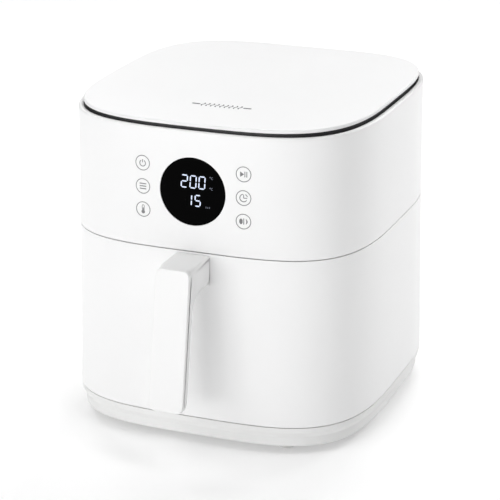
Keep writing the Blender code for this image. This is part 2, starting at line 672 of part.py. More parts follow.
def interlock_switch(body):
    """The microswitch beside the cavity, with a cheek and a pin that carry the lever."""
    near, far = TONGUE_X - 0.0016, TONGUE_X + 0.0050
    case = block("interlock_switch", (near, -0.0925, 0.0960), (far, -0.0725, 0.1240), "black_plastic", body)
    cheek = box_loops((far - 0.0012, LEVER_PIVOT_Y - 0.0035, LEVER_PIVOT_Z - 0.0035),
                      (far, -0.0900, LEVER_PIVOT_Z + 0.0035))
    combine(case, cutter("switch_cheek", cheek, body), "UNION")
    pin = [circle_along_x(0.0010, x, LEVER_PIVOT_Y, LEVER_PIVOT_Z) for x in (near + 0.0004, far - 0.0006)]
    combine(case, cutter("switch_pin", pin, body), "UNION")


def interlock_lever(body):
    """A barrel on the switch's pin with an arm hanging behind the slot. Its origin is the pivot."""
    near, far = TONGUE_X - 0.0012, TONGUE_X + 0.0034
    pivot = (0.0, LEVER_PIVOT_Y, LEVER_PIVOT_Z)
    loops = [circle_along_x(0.0022, near, 0.0, 0.0), circle_along_x(0.0022, far, 0.0, 0.0)]
    lever = skin("interlock_lever", loops, "bumper_silicone", body, location=pivot)
    arm = cutter("lever_arm", box_loops((near, -0.0022, -0.0220), (far, -0.0008, -0.0005)), body)
    combine(lever, arm, "UNION")
    bore = cutter("lever_bore", [circle_along_x(0.0013, x, 0.0, 0.0) for x in (near - 0.01, far + 0.01)], body)
    combine(lever, bore, "DIFFERENCE")
    for tool in (arm, bore):
        tool.location = pivot


# ---- Drawer --------------------------------------------------------------------------------

def drawer_front(drawer):
    """The front skin, wrapped round both corners, with holes for the handle's screws."""
    edge = turn_at(DRAWER_EDGE_Y - SEAM / 2.0)
    sections = wall_sections(math.pi - edge, 2.0 * math.pi + edge, 21, BASE_SEAM + SEAM / 2.0, MID_SEAM - SEAM / 2.0)
    front = skin("drawer_front", sections, "white_shell", drawer)
    for i, x in enumerate(HANDLE_SCREWS_X, 1):
        hole = cutter(f"front_screw_hole_{i}", [circle_along_y(0.0022, y, x, HANDLE_SCREW_Z, 12)
                                                for y in (-0.16, -0.14)], drawer)
        combine(front, hole, "DIFFERENCE")


def drawer_shelf(low, high, rear):
    """The flat space inside the front skin between two heights, closed by a straight rear edge."""
    edge = turn_at(DRAWER_EDGE_Y - 0.0012)
    points, normals = oval_points(np.linspace(math.pi - edge, 2.0 * math.pi + edge, 21), HALF_WIDTH, HALF_DEPTH,
                                  FRONT_SQUARENESS, REAR_SQUARENESS)
    inside = points + (flare(high) - WALL - 2.0 * GAP) * normals
    inside[:, 1] = np.minimum(inside[:, 1], rear)
    return extruded_z(inside, low, high)


def front_backing(drawer):
    """The moulding that closes the drawer front: a flat back, a shelf at top and bottom, and the tongue."""
    rear, front, side = DRAWER_EDGE_Y - 0.0005, DRAWER_EDGE_Y - 0.0035, 0.1235
    low, high = BASE_SEAM + 0.0015, MID_SEAM - 0.0012
    backing = block("front_backing", (-side, front, low), (side, rear, high), "base_plastic", drawer)
    for name, bottom, top in (("bottom_shelf", low - 0.0002, low + WALL), ("top_shelf", high - WALL, high + 0.0002)):
        combine(backing, cutter(name, drawer_shelf(bottom, top, rear + 0.0001), drawer), "UNION")
    tongue = box_loops((TONGUE_X - 0.0010, rear - 0.001, TONGUE_Z - 0.0050),
                       (TONGUE_X + 0.0010, LEVER_PIVOT_Y - 0.0025, TONGUE_Z + 0.0050))
    combine(backing, cutter("tongue", tongue, drawer), "UNION")


def pan_bracket(drawer):
    """A channel between the backing and the pan's front wall."""
    rear, front, side = -0.1021, DRAWER_EDGE_Y - 0.0005 + GAP, 0.030
    lip = side + 0.012
    outline = np.array([(-lip, front), (lip, front), (lip, front + 0.0015), (side + 0.0015, front + 0.0015),
                        (side + 0.0015, rear), (-side - 0.0015, rear), (-side - 0.0015, front + 0.0015),
                        (-lip, front + 0.0015)])
    skin("pan_bracket", extruded_z(outline, 0.1100, 0.1500), "zinc_steel", drawer)


def frying_pan(drawer):
    """The coated pan: a flat floor, drafted walls and a rim that rides on the rails."""
    lip = PAN_RIM - 0.0015
    outside = [(-0.0190, PAN_UNDERSIDE), (-0.0138, 0.0473), (-0.0118, 0.0515), (-0.0052, lip), (0.0, lip), (0.0, PAN_RIM)]
    inside = [(-0.0064, PAN_RIM), (-0.0130, 0.0519), (-0.0148, 0.0484), (-0.0184, PAN_UNDERSIDE + 0.0013)]
    skin("frying_pan", [chamber_ring(*pair) for pair in outside + inside], "nonstick_coat", drawer)


def handle_outline(front_shift):
    """Two points of a line parallel to the grip's leaning front face, at its top and bottom."""
    return (HANDLE_TOP_Y + front_shift, HANDLE_TOP), (HANDLE_BOTTOM_Y + front_shift, HANDLE_BOTTOM)


def handle_cover(drawer):
    """The front slab of the handle."""
    front_top, front_bottom = handle_outline(0.0)
    rear_top, rear_bottom = handle_outline(HANDLE_COVER)
    outline = rounded([(*front_top, 0.0035), (*front_bottom, 0.0035), (*rear_bottom, 0.0), (*rear_top, 0.0)])
    skin("handle_cover", extruded_x(outline, -HANDLE_HALF_WIDTH, HANDLE_HALF_WIDTH), "white_shell", drawer)


def handle_body(drawer):
    """The rest of the handle: the neck that meets the drawer and the back of the leaning grip."""
    front_top, front_bottom = handle_outline(HANDLE_COVER + GAP)
    outline = rounded([(*front_top, 0.0), (*front_bottom, 0.0), (-0.2050, HANDLE_BOTTOM, 0.0025),
                       (-0.1885, NECK_UNDERSIDE + 0.0010, 0.0090), (NECK_REAR_Y, NECK_UNDERSIDE, 0.0),
                       (NECK_REAR_Y, HANDLE_TOP, 0.0)])
    grip = skin("handle_body", extruded_x(outline, -HANDLE_HALF_WIDTH, HANDLE_HALF_WIDTH), "white_shell", drawer)
    for i, x in enumerate(HANDLE_SCREWS_X, 1):
        loops = [circle_along_y(0.0020, y, x, HANDLE_SCREW_Z, 12) for y in (-0.1665, -0.1500)]
        combine(grip, cutter(f"handle_screw_hole_{i}", loops, drawer), "DIFFERENCE")


def handle_screws(drawer):
    """Screws from inside the drawer front into the handle's neck."""
    profile = [(0.0034, -0.1466), (0.0034, -0.1491), (0.0016, -0.1491), (0.0016, -0.1655)]
    for i, x in enumerate(HANDLE_SCREWS_X, 1):
        loops = [circle_along_y(radius, y, x, HANDLE_SCREW_Z, 12) for radius, y in profile]
        skin(f"handle_screw_{i}", loops, "zinc_steel", drawer)


# ---- Crisper plate -------------------------------------------------------------------------

def crisper_plate(plate):
    """The slotted plate on its own turned-down edge."""
    edge, top, thickness = -0.0196, 0.0615, 0.0015
    scales = (0.10, 0.24, 0.32, 0.52, 0.60, 0.84, 0.95)
    above = [chamber_ring(edge, top, scale, SLOT_POINTS) for scale in scales]
    below = [ring - (0.0, 0.0, thickness) for ring in above]
    above += [chamber_ring(edge, height, count=SLOT_POINTS) for height in (top - 0.0010, 0.0478)]
    below += [chamber_ring(edge - thickness, height, count=SLOT_POINTS) for height in (top - 0.0020, 0.0478)]
    slotted_plate("crisper_plate", above, below, {1, 3, 5}, "nonstick_coat", plate)


def plate_bumpers(plate):
    """Silicone pads at the plate's corners, between its edge and the pan."""
    near, far, half, low, high = -0.0190, -0.0136, 0.0070, 0.0540, 0.0635
    turns = np.radians([45.0, 135.0, 225.0, 315.0])
    points, normals = oval_points(turns, CHAMBER_HALF_WIDTH, CHAMBER_HALF_DEPTH,
                                  CHAMBER_SQUARENESS, CHAMBER_SQUARENESS)
    for i, (point, normal) in enumerate(zip(points, normals), 1):
        across = np.array([-normal[1], normal[0]])
        outline = np.array([point + normal * out + across * side for out, side in
                            ((near, -half), (near, half), (far - 0.0012, half), (far, 0.0), (far - 0.0012, -half))])
        skin(f"plate_bumper_{i}", extruded_z(outline + (0.0, FAN_Y), low, high), "bumper_silicone", plate)


def centre_on_origin(body):
    """Moves the whole fryer along Y until its handle and its gland are equally far from the origin."""
    front = min(point.co.y for point in bpy.data.objects["handle_cover"].data.vertices)
    body.location.y = -(front + REAR_REACH) / 2.0


def main():
    clear_scene()
    body = add_empty("body_axis")
    fan_axis = add_empty("fan_axis", body, (0.0, FAN_Y, 0.0))
    drawer = add_empty("drawer_slide", body)
    plate = add_empty("plate_lift", drawer)
    for build in (base_pan, base_screws, feet, lower_housing, upper_housing, intake_ring, top_cover, rear_vent,
                  cord_gland, cavity_shell, rails, chamber_liner, heat_shield, heater_guard, heating_element,
                  heater_clips, sensors, motor, control_panel, power_supply, interlock_switch, interlock_lever):
        build(body)
    rotor(fan_axis)
    for build in (drawer_front, front_backing, pan_bracket, frying_pan, handle_cover, handle_body, handle_screws):
        build(drawer)
    crisper_plate(plate)
    plate_bumpers(plate)
    centre_on_origin(body)


main()
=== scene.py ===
import json
import math

import bmesh
import bpy
import numpy as np
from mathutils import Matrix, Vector


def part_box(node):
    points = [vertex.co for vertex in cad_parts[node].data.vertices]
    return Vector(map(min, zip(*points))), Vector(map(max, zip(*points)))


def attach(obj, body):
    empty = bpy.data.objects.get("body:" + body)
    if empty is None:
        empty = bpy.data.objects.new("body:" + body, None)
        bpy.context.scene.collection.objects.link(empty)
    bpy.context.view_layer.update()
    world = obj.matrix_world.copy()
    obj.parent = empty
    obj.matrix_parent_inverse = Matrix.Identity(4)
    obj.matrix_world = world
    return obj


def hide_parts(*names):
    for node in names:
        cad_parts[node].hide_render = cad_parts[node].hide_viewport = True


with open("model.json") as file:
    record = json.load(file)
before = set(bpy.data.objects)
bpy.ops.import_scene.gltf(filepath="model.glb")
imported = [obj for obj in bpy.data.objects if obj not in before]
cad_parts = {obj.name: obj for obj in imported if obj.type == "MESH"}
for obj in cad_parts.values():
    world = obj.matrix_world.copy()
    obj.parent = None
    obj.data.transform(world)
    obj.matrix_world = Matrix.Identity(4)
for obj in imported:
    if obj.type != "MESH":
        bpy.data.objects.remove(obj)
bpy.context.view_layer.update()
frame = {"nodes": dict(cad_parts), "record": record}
record = frame["record"]
slotOf = {part["node"]: part["material_slot"] for part in record["subparts"]}
bodyOf = {node: body for body, nodes in record["behaviour"]["bodies"].items() for node in nodes}
print("fryer: frame loaded,", len(slotOf), "nodes")

# The head is the same in front and behind, so the middle of its box is the body's axis.
headLow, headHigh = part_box("upper_housing")
bodyForm = {
    "centre": (0.0, (headLow.y + headHigh.y) / 2),
    "halfWidth": 0.140,
    "halfDepth": 0.1505,
    "front": 3.76,      # squareness of the outline's front half
    "rear": 3.59,
    "crowding": 0.05,   # metres of path that one radian of turning counts for
}
fanCentre = [(a + b) / 2 for a, b in zip(*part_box("motor_shaft"))][:2]
chamberForm = {"centre": tuple(fanCentre), "halfWidth": 0.1165, "halfDepth": 0.1132,
               "front": 4.0, "rear": 4.0, "crowding": 0.04}
wall = {
    "thickness": 0.0025,
    "lean": 0.004,      # how far the walls stand out at the base seam
    "power": 1.4,
    "leanTop": 0.2905,
    "leanFoot": 0.0285,
    "edge": 0.0005,     # rounding of the mouldings' edges
}


def unit(vectors):
    # each vector over its own length
    return vectors / np.linalg.norm(vectors, axis=-1, keepdims=True)


def lean(height):
    # most * share ^ power, where share is how far down from the top the height lies
    share = np.clip((wall["leanTop"] - height) / (wall["leanTop"] - wall["leanFoot"]), 0, 1)
    return wall["lean"] * share ** wall["power"]


def filleted(corners, steps=6, closed=True):
    # every corner (u, v, radius) becomes an arc that touches both its sides
    table = np.array(corners, float)
    place, radius = table[:, :2], np.maximum(table[:, 2:], 1e-5)
    back = unit(np.roll(place, 1, 0) - place)
    ahead = unit(np.roll(place, -1, 0) - place)
    half = np.arccos(np.clip((back * ahead).sum(1, keepdims=True), -0.99999, 0.99999)) / 2
    centre = place + unit(back + ahead) * radius / np.sin(half)
    first = place + back * radius / np.tan(half) - centre
    last = place + ahead * radius / np.tan(half) - centre
    swing = (math.pi - 2 * half)[:, None]
    share = np.linspace(0, 1, steps + 1)[None, :, None]
    arcs = (first[:, None] * np.sin((1 - share) * swing)
            + last[:, None] * np.sin(share * swing)) / np.sin(swing)
    arcs += centre[:, None]
    if closed:
        return arcs.reshape(-1, 2)
    return np.concatenate([place[:1], arcs[1:-1].reshape(-1, 2), place[-1:]])


def roundedBox(left, foot, right, top, radii, steps=6):
    # a rectangle's four corners, anticlockwise from the lower left, each with its radius
    corners = ((left, foot), (right, foot), (right, top), (left, top))
    return filleted([(*corner, radius) for corner, radius in zip(corners, np.broadcast_to(radii, 4))], steps)


def spaced(line, step, closed=True):
    # adds points on the straight stretches, so that none is longer than the step
    path = np.concatenate([line, line[:1]]) if closed else line
    length = np.concatenate([[0], np.cumsum(np.linalg.norm(np.diff(path, axis=0), axis=1))])
    even = np.arange(0, length[-1], step)
    gap = np.abs(even[:, None] - length[None]).min(1)
    stations = np.sort(np.concatenate([length, even[gap > step * 0.3]]))
    if closed:
        stations = stations[:-1]
    return np.stack([np.interp(stations, length, column) for column in path.T], axis=1)


def outward(profile):
    # the chord between both neighbours, turned a quarter away from the inside
    along = np.roll(profile, -1, 0) - np.roll(profile, 1, 0)
    after = np.roll(profile, -1, 0)
    area = (profile[:, 0] * after[:, 1] - after[:, 0] * profile[:, 1]).sum()
    return unit(np.stack([along[:, 1], -along[:, 0]], axis=1)) * np.sign(area)


def roundedSquare(form, first=0.0, last=2 * math.pi, count=320, soft=0.0):
    # |x/a|^n + |y/b|^n = 1, sampled evenly in length plus turning; with soft, both ends draw in on a
    # quarter circle
    turn = np.linspace(first, last, 8001)
    cosine, sine = np.cos(turn), np.sin(turn)
    power = np.where(sine < 0, form["front"], form["rear"])
    x = np.sign(cosine) * np.abs(cosine) ** (2 / power)
    y = np.sign(sine) * np.abs(sine) ** (2 / power)
    normal = unit(np.stack([np.sign(x) * np.abs(x) ** (power - 1) / form["halfWidth"],
                            np.sign(y) * np.abs(y) ** (power - 1) / form["halfDepth"]], axis=1))
    place = np.stack([x * form["halfWidth"], y * form["halfDepth"]], axis=1)
    heading = np.unwrap(np.arctan2(normal[:, 1], normal[:, 0]))
    length = np.concatenate([[0], np.cumsum(np.linalg.norm(np.diff(place, axis=0), axis=1))])
    measure = length + form["crowding"] * np.abs(heading - heading[0])
    stations = np.interp(np.linspace(0, measure[-1], count + 1), measure, length)
    inset = np.zeros(len(stations))
    if soft:
        near, draw = softEnd(soft)
        stations = stations[(stations > soft) & (stations < length[-1] - soft)]
        inset = np.concatenate([draw, np.zeros(len(stations)), draw[::-1]])
        stations = np.concatenate([near, stations, length[-1] - near[::-1]])
    else:
        stations, inset = stations[:-1], inset[:-1]
    columns = [np.interp(stations, length, c) for c in (*place.T, *normal.T)]
    return {"place": np.stack(columns[:2], 1), "normal": np.stack(columns[2:], 1),
            "inset": inset, "centre": np.array(form["centre"])}


def softEnd(radius, steps=4):
    # stations and draw-in of a quarter circle: radius * (1 - sin) along, radius * (1 - cos) inwards
    swing = np.linspace(math.pi / 2, 0, steps + 1)
    return radius * (1 - np.sin(swing)), radius * (1 - np.cos(swing))


def carried(ring, profile, leans=False, scale=1.0):
    # each profile point (offset, height) stands off the ring along its normals; scale shrinks the ring
    # to its centre
    offset = profile[:, 0] + (lean(profile[:, 1]) if leans else 0)
    scale = np.broadcast_to(scale, len(profile))
    flat = (ring["place"][None] * scale[:, None, None] + ring["normal"][None] * offset[:, None, None]
            + ring["centre"])
    height = np.broadcast_to(profile[:, 1:, None], (*flat.shape[:2], 1))
    return np.concatenate([flat, height], axis=2)


def disc(ring, rim, leans=False, rows=26, dishTop=None, dishFoot=None, lift=None):
    # a rim profile from top to underside, continued to the middle on both sides; the two dishes shape those
    # faces, and a lift of the edge (x, y) fades towards the middle with the square of the scale
    share = np.linspace(0.02, 1, rows)[:-1]
    top = np.stack([np.full(rows - 1, rim[0, 0]), np.full(rows - 1, rim[0, 1])], 1)
    foot = np.stack([np.full(rows - 1, rim[-1, 0]), np.full(rows - 1, rim[-1, 1])], 1)
    if dishTop:
        top[:, 1] += dishTop(share)
    if dishFoot:
        foot[:, 1] += dishFoot(share)
    profile = np.concatenate([top, rim, foot[::-1]])
    scale = np.concatenate([share, np.ones(len(rim)), share[::-1]])
    offset = profile[:, 0] * scale
    grid = carried(ring, np.stack([offset, profile[:, 1]], 1), leans, scale)
    if lift:
        grid[..., 2] += lift(*grid[len(top), :, :2].T) * scale[:, None] ** 2
    return grid


def prism(outline, start, end, soft=0.0003, axis="z"):
    # an outline (u, v) carried along an axis, its two end edges rounded by a quarter circle
    near, draw = softEnd(soft, 3)
    station = np.concatenate([start + near, end - near[::-1]])
    inset = np.concatenate([draw, draw[::-1]])
    flat = outline[None] - inset[:, None, None] * outward(outline)[None]
    along = np.broadcast_to(station[:, None], flat.shape[:2])
    order = {"x": (along, flat[..., 0], flat[..., 1]), "y": (flat[..., 0], along, flat[..., 1]),
             "z": (flat[..., 0], flat[..., 1], along)}[axis]
    return np.stack(order, axis=2)


def turned(profile, centre, count=48, axis="z"):
    # a (radius, height) profile turned round an axis through the centre
    angle = np.linspace(0, 2 * math.pi, count, endpoint=False)
    u = centre[0] + profile[:, :1] * np.cos(angle)
    v = centre[1] + profile[:, :1] * np.sin(angle)
    along = np.broadcast_to(profile[:, 1:], u.shape)
    return np.stack((u, v, along) if axis == "z" else (u, along, v), axis=2)


def stadium(centre, length, width, angle=0.0, steps=8):
    # a slot with round ends: two half circles a slot's length apart, turned by the angle
    swing = np.linspace(-math.pi / 2, math.pi / 2, steps)
    right = np.stack([length / 2 - width / 2 + width / 2 * np.cos(swing), width / 2 * np.sin(swing)], 1)
    whole = np.concatenate([right, -right])
    turn = np.array([[math.cos(angle), math.sin(angle)], [-math.sin(angle), math.cos(angle)]])
    return whole @ turn + centre


def gridFaces(rows, columns, rowsJoin=False, start=0):
    # quads between neighbours, each row joined to itself; the end rows are joined to each other or capped
    index = start + np.arange(rows * columns).reshape(rows, columns)
    ends = [] if rowsJoin else [index[0].tolist(), index[-1].tolist()]
    if rowsJoin:
        index = np.concatenate([index, index[:1]])
    index = np.concatenate([index, index[:, :1]], axis=1)
    quads = np.stack([index[:-1, :-1], index[1:, :-1], index[1:, 1:], index[:-1, 1:]], axis=-1)
    return quads.reshape(-1, 4).tolist() + ends


def meshOf(name, grids, rowsJoin=False):
    # one closed mesh from grids of points; rowsJoin is one answer for all of them, or one for each
    mesh = bpy.data.meshes.new(name)
    joins = rowsJoin if isinstance(rowsJoin, list) else [rowsJoin] * len(grids)
    faces, start = [], 0
    for grid, joined in zip(grids, joins):
        faces += gridFaces(*grid.shape[:2], rowsJoin=joined, start=start)
        start += grid.shape[0] * grid.shape[1]
    mesh.from_pydata(np.concatenate([grid.reshape(-1, 3) for grid in grids]), [], faces)
    shape = bmesh.new()
    shape.from_mesh(mesh)
    bmesh.ops.recalc_face_normals(shape, faces=shape.faces)
    shape.to_mesh(mesh)
    shape.free()
    return mesh


def addPiece(name, mesh, finish, body, nodes=(), angle=32):
    # a finished mesh, smooth but for edges sharper than the angle, on its body and in its slot
    mesh.shade_smooth()
    mesh.set_sharp_from_angle(angle=math.radians(angle))
    mesh.materials.clear()
    mesh.materials.append(materials[finish])
    piece = bpy.data.objects.new(name, mesh)
    bpy.context.scene.collection.objects.link(piece)
    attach(piece, body)
    if nodes:
        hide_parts(*nodes)
    return piece


def makePiece(name, node, grids, rowsJoin=False, finish=None, angle=32):
    # a piece that stands for one CAD node, on that node's body and in its finish
    grids = grids if isinstance(grids, list) else [grids]
    mesh = meshOf(name, grids, rowsJoin)
    return addPiece(name, mesh, finish or slotOf[node], bodyOf[node], [node], angle)


def cut(piece, grids, operation="DIFFERENCE", angle=32):
    # takes closed shapes out of a piece, or adds them to it, and keeps the result as its mesh
    tool = bpy.data.objects.new("tool", meshOf("tool", grids))
    bpy.context.scene.collection.objects.link(tool)
    step = piece.modifiers.new("cut", "BOOLEAN")
    step.operation = operation
    step.object = tool
    depsgraph = bpy.context.evaluated_depsgraph_get()
    result = bpy.data.meshes.new_from_object(piece.evaluated_get(depsgraph))
    piece.modifiers.clear()
    piece.data = result
    bpy.data.objects.remove(tool)
    result.name = piece.name
    result.shade_smooth()
    result.set_sharp_from_angle(angle=math.radians(angle))
    return piece


def softened(node, width, segments=2, dissolve=0.4):
    # a CAD node's own shape with its points merged, its flats made whole and its edges rounded
    mesh = frame["nodes"][node].data.copy()
    shape = bmesh.new()
    shape.from_mesh(mesh)
    bmesh.ops.remove_doubles(shape, verts=shape.verts, dist=2e-6)
    bmesh.ops.dissolve_limit(shape, angle_limit=math.radians(dissolve), verts=shape.verts, edges=shape.edges)
    shape.to_mesh(mesh)
    shape.free()
    name = "".join(word.capitalize() if i else word for i, word in enumerate(node.split("_")))
    piece = addPiece(name, mesh, slotOf[node], bodyOf[node], [node])
    edge = piece.modifiers.new("edge", "BEVEL")
    edge.width = width
    edge.segments = segments
    edge.limit_method = "ANGLE"
    edge.angle_limit = math.radians(35)
    edge.harden_normals = False
    return piece


plain = {"metallic": 0.0, "cloud": 9.0, "grain": 1400.0, "depth": 0.00002, "stretch": (1, 1, 1),
         "pattern": "noise", "specular": 0.5, "glow": 0.0}
looks = {
    "white_shell": {"colour": (0.905, 0.905, 0.905), "shade": (0.895, 0.895, 0.896), "rough": (0.34, 0.42),
                    "depth": 0.000004, "grain": 1700.0},
    "cover_white": {"colour": (0.895, 0.895, 0.895), "shade": (0.885, 0.885, 0.887), "rough": (0.40, 0.50),
                    "depth": 0.000004, "grain": 1500.0},
    "handle_white": {"colour": (0.895, 0.895, 0.893), "shade": (0.885, 0.885, 0.884), "rough": (0.36, 0.44),
                     "depth": 0.000004, "grain": 1500.0},
    "base_plastic": {"colour": (0.84, 0.84, 0.835), "shade": (0.82, 0.82, 0.815), "rough": (0.45, 0.6),
                     "depth": 0.00003, "grain": 1100.0},
    "black_plastic": {"colour": (0.022, 0.022, 0.024), "shade": (0.03, 0.03, 0.032), "rough": (0.42, 0.58),
                      "depth": 0.00003},
    "display_acrylic": {"colour": (0.0006, 0.0006, 0.0007), "shade": (0.0009, 0.0009, 0.001),
                        "rough": (0.10, 0.14), "depth": 0.000001, "grain": 300.0, "specular": 0.02},
    "foot_rubber": {"colour": (0.72, 0.72, 0.71), "shade": (0.66, 0.66, 0.65), "rough": (0.7, 0.85),
                    "depth": 0.00004, "grain": 900.0},
    "nonstick_coat": {"colour": (0.030, 0.030, 0.032), "shade": (0.075, 0.075, 0.08),
                      "rough": (0.26, 0.42), "pattern": "speckle", "cloud": 900.0, "grain": 700.0,
                      "depth": 0.00003, "metallic": 0.15},
    "bumper_silicone": {"colour": (0.045, 0.045, 0.047), "shade": (0.06, 0.06, 0.062), "rough": (0.6, 0.75),
                        "depth": 0.00002},
    "zinc_steel": {"colour": (0.60, 0.61, 0.62), "shade": (0.70, 0.71, 0.73), "rough": (0.26, 0.44),
                   "metallic": 1.0, "pattern": "spangle", "cloud": 160.0, "depth": 0.000008},
    "heater_steel": {"colour": (0.20, 0.185, 0.175), "shade": (0.30, 0.25, 0.21), "rough": (0.38, 0.6),
                     "metallic": 1.0, "cloud": 60.0, "depth": 0.00002},
    "fan_aluminium": {"colour": (0.78, 0.79, 0.80), "shade": (0.68, 0.69, 0.70), "rough": (0.25, 0.4),
                      "metallic": 1.0, "stretch": (1, 14, 1), "cloud": 120.0, "depth": 0.00001},
    "motor_iron": {"colour": (0.25, 0.25, 0.27), "shade": (0.16, 0.16, 0.17), "rough": (0.4, 0.6),
                   "metallic": 1.0, "pattern": "layers", "grain": 500.0, "depth": 0.0001},
    "copper_coil": {"colour": (0.62, 0.26, 0.11), "shade": (0.45, 0.17, 0.07), "rough": (0.25, 0.4),
                    "metallic": 1.0, "pattern": "layers", "grain": 700.0, "depth": 0.00015},
    "sleeve_brass": {"colour": (0.72, 0.54, 0.24), "shade": (0.62, 0.45, 0.19), "rough": (0.25, 0.38),
                     "metallic": 1.0, "cloud": 200.0},
    "circuit_board": {"colour": (0.025, 0.14, 0.07), "shade": (0.05, 0.23, 0.11), "rough": (0.3, 0.45),
                      "pattern": "tracks", "cloud": 260.0, "depth": 0.00003},
    "sign_print": {"colour": (0.17, 0.17, 0.175), "shade": (0.20, 0.20, 0.205), "rough": (0.5, 0.6),
                   "depth": 0.000002},
    "lid_print": {"colour": (0.13, 0.13, 0.135), "shade": (0.16, 0.16, 0.165), "rough": (0.5, 0.6),
                  "depth": 0.000002},
    "lit_segments": {"colour": (0.45, 0.50, 0.62), "shade": (0.5, 0.55, 0.66), "rough": (0.3, 0.4),
                     "depth": 0.000002, "glow": 0.50, "light": (0.66, 0.74, 0.93)},
    "dim_segments": {"colour": (0.10, 0.11, 0.14), "shade": (0.12, 0.13, 0.16), "rough": (0.3, 0.4),
                     "depth": 0.000002, "glow": 0.12, "light": (0.5, 0.58, 0.8)},
}


def makeFinish(name, look):
    # two close colours mixed by clouds, cells or specks; finer noise moves the roughness, and a grain or
    # layers drive the bump
    look = {**plain, **look}
    material = bpy.data.materials.new(name)
    material.use_nodes = True
    nodes, links = material.node_tree.nodes, material.node_tree.links
    shader = nodes["Principled BSDF"]
    shader.inputs["Metallic"].default_value = look["metallic"]
    shader.inputs["Specular IOR Level"].default_value = look["specular"]
    place = nodes.new("ShaderNodeTexCoord")
    mapping = nodes.new("ShaderNodeMapping")
    mapping.inputs["Scale"].default_value = look["stretch"]
    links.new(place.outputs["Object"], mapping.inputs["Vector"])

    def noise(scale, detail=3.0):  # soft noise over Object coordinates
        node = nodes.new("ShaderNodeTexNoise")
        node.inputs["Scale"].default_value = scale
        node.inputs["Detail"].default_value = detail
        links.new(mapping.outputs["Vector"], node.inputs["Vector"])
        return node.outputs["Fac"]

    def ranged(source, low, high, outLow, outHigh):  # a value moved from one range to another
        node = nodes.new("ShaderNodeMapRange")
        for socket, value in (("From Min", low), ("From Max", high), ("To Min", outLow), ("To Max", outHigh)):
            node.inputs[socket].default_value = value
        links.new(source, node.inputs["Value"])
        return node.outputs["Result"]

    if look["pattern"] in ("spangle", "tracks"):
        cells = nodes.new("ShaderNodeTexVoronoi")
        cells.inputs["Scale"].default_value = look["cloud"]
        cells.distance = "MANHATTAN" if look["pattern"] == "tracks" else "EUCLIDEAN"
        links.new(mapping.outputs["Vector"], cells.inputs["Vector"])
        split = nodes.new("ShaderNodeSeparateColor")
        links.new(cells.outputs["Color"], split.inputs["Color"])
        clouds = split.outputs["Red"]
        if look["pattern"] == "tracks":
            clouds = ranged(cells.outputs["Distance"], 0.30, 0.36, 1.0, 0.0)
    elif look["pattern"] == "speckle":
        clouds = ranged(noise(look["cloud"], 1.0), 0.60, 0.72, 0.0, 1.0)
    else:
        clouds = ranged(noise(look["cloud"]), 0.3, 0.7, 0.0, 1.0)
    grain = noise(look["grain"], 2.0)
    if look["pattern"] == "layers":
        bands = nodes.new("ShaderNodeTexWave")
        bands.bands_direction = "Z"
        bands.inputs["Scale"].default_value = look["grain"]
        bands.inputs["Distortion"].default_value = 0.4
        links.new(mapping.outputs["Vector"], bands.inputs["Vector"])
        grain = bands.outputs["Fac"]
    mix = nodes.new("ShaderNodeMix")
    mix.data_type = "RGBA"
    mix.inputs["A"].default_value = (*look["colour"], 1)
    mix.inputs["B"].default_value = (*look["shade"], 1)
    links.new(clouds, mix.inputs["Factor"])
    links.new(mix.outputs["Result"], shader.inputs["Base Color"])
    links.new(ranged(noise(look["grain"] / 9), 0.3, 0.7, *look["rough"]), shader.inputs["Roughness"])
    bump = nodes.new("ShaderNodeBump")
    bump.inputs["Distance"].default_value = look["depth"]
    links.new(grain, bump.inputs["Height"])
    links.new(bump.outputs["Normal"], shader.inputs["Normal"])
    if look["glow"]:
        shader.inputs["Emission Color"].default_value = (*look["light"], 1)
        shader.inputs["Emission Strength"].default_value = look["glow"]
    return material


materials = {name: makeFinish(name, look) for name, look in looks.items()}
for node, piece in frame["nodes"].items():
    piece.data.materials.clear()
    piece.data.materials.append(materials[slotOf[node]])
print("fryer: finishes made,", len(materials))


bodyRing = roundedSquare(bodyForm)
chamberRing = roundedSquare(chamberForm, count=240)


def panelProfile(low, high):
    # the wall's closed section: its outer face on offset 0, its inner face a wall's thickness in
    inner = -wall["thickness"]
    edge = wall["edge"]
    return spaced(filleted([(0, low, edge), (0, high, edge), (inner, high, edge), (inner, low, edge)]), 0.006)


basePan = {
    "bandHeight": 0.0050,   # the upright band under the seam
    "bandInset": 0.0003,    # it stands this far inside the wall above
    "slope": 0.0094,        # how much further in the underside's edge is
    "floor": 0.0028,
    "wall": 0.0034,
    "ribs": 7,
    "ribDepth": 0.0007,
    "bossRadius": 0.0019,
}


def makeBasePan():
    # the section runs from the inner floor over the band to the underside; four screw holes are cut
    low, high = [corner.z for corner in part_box("base_pan")]
    reach = wall["lean"] - basePan["bandInset"]
    band = high - basePan["bandHeight"]
    foot = reach - basePan["slope"] - 0.004
    floor, inner = low + basePan["floor"], reach - basePan["wall"]
    rim = filleted([(foot, floor, 0), (inner, floor, 0.0004), (inner, high, 0.0005), (reach, high, 0.0005),
                    (reach - 0.0004, band, 0.0012), (reach - basePan["slope"], low + 0.0015, 0.004),
                    (foot, low, 0)], closed=False)

    def ribbed(share):  # shallow rings in the underside, as the cube of a cosine
        wave = np.cos(share * math.pi * 2 * basePan["ribs"]).clip(0)
        return basePan["ribDepth"] * wave ** 3 * (share < 0.9)

    grid = disc(bodyRing, spaced(rim, 0.004, False), rows=110, dishFoot=ribbed)
    piece = makePiece("basePan", "base_pan", grid)
    holes = []
    for node in (f"base_screw_{i}" for i in range(1, 5)):
        middle = sum(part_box(node), Vector()) / 2
        profile = np.array([(basePan["bossRadius"], low - 0.002), (basePan["bossRadius"], low + 0.004)])
        holes.append(turned(profile, middle[:2], 24))
    cut(piece, holes)


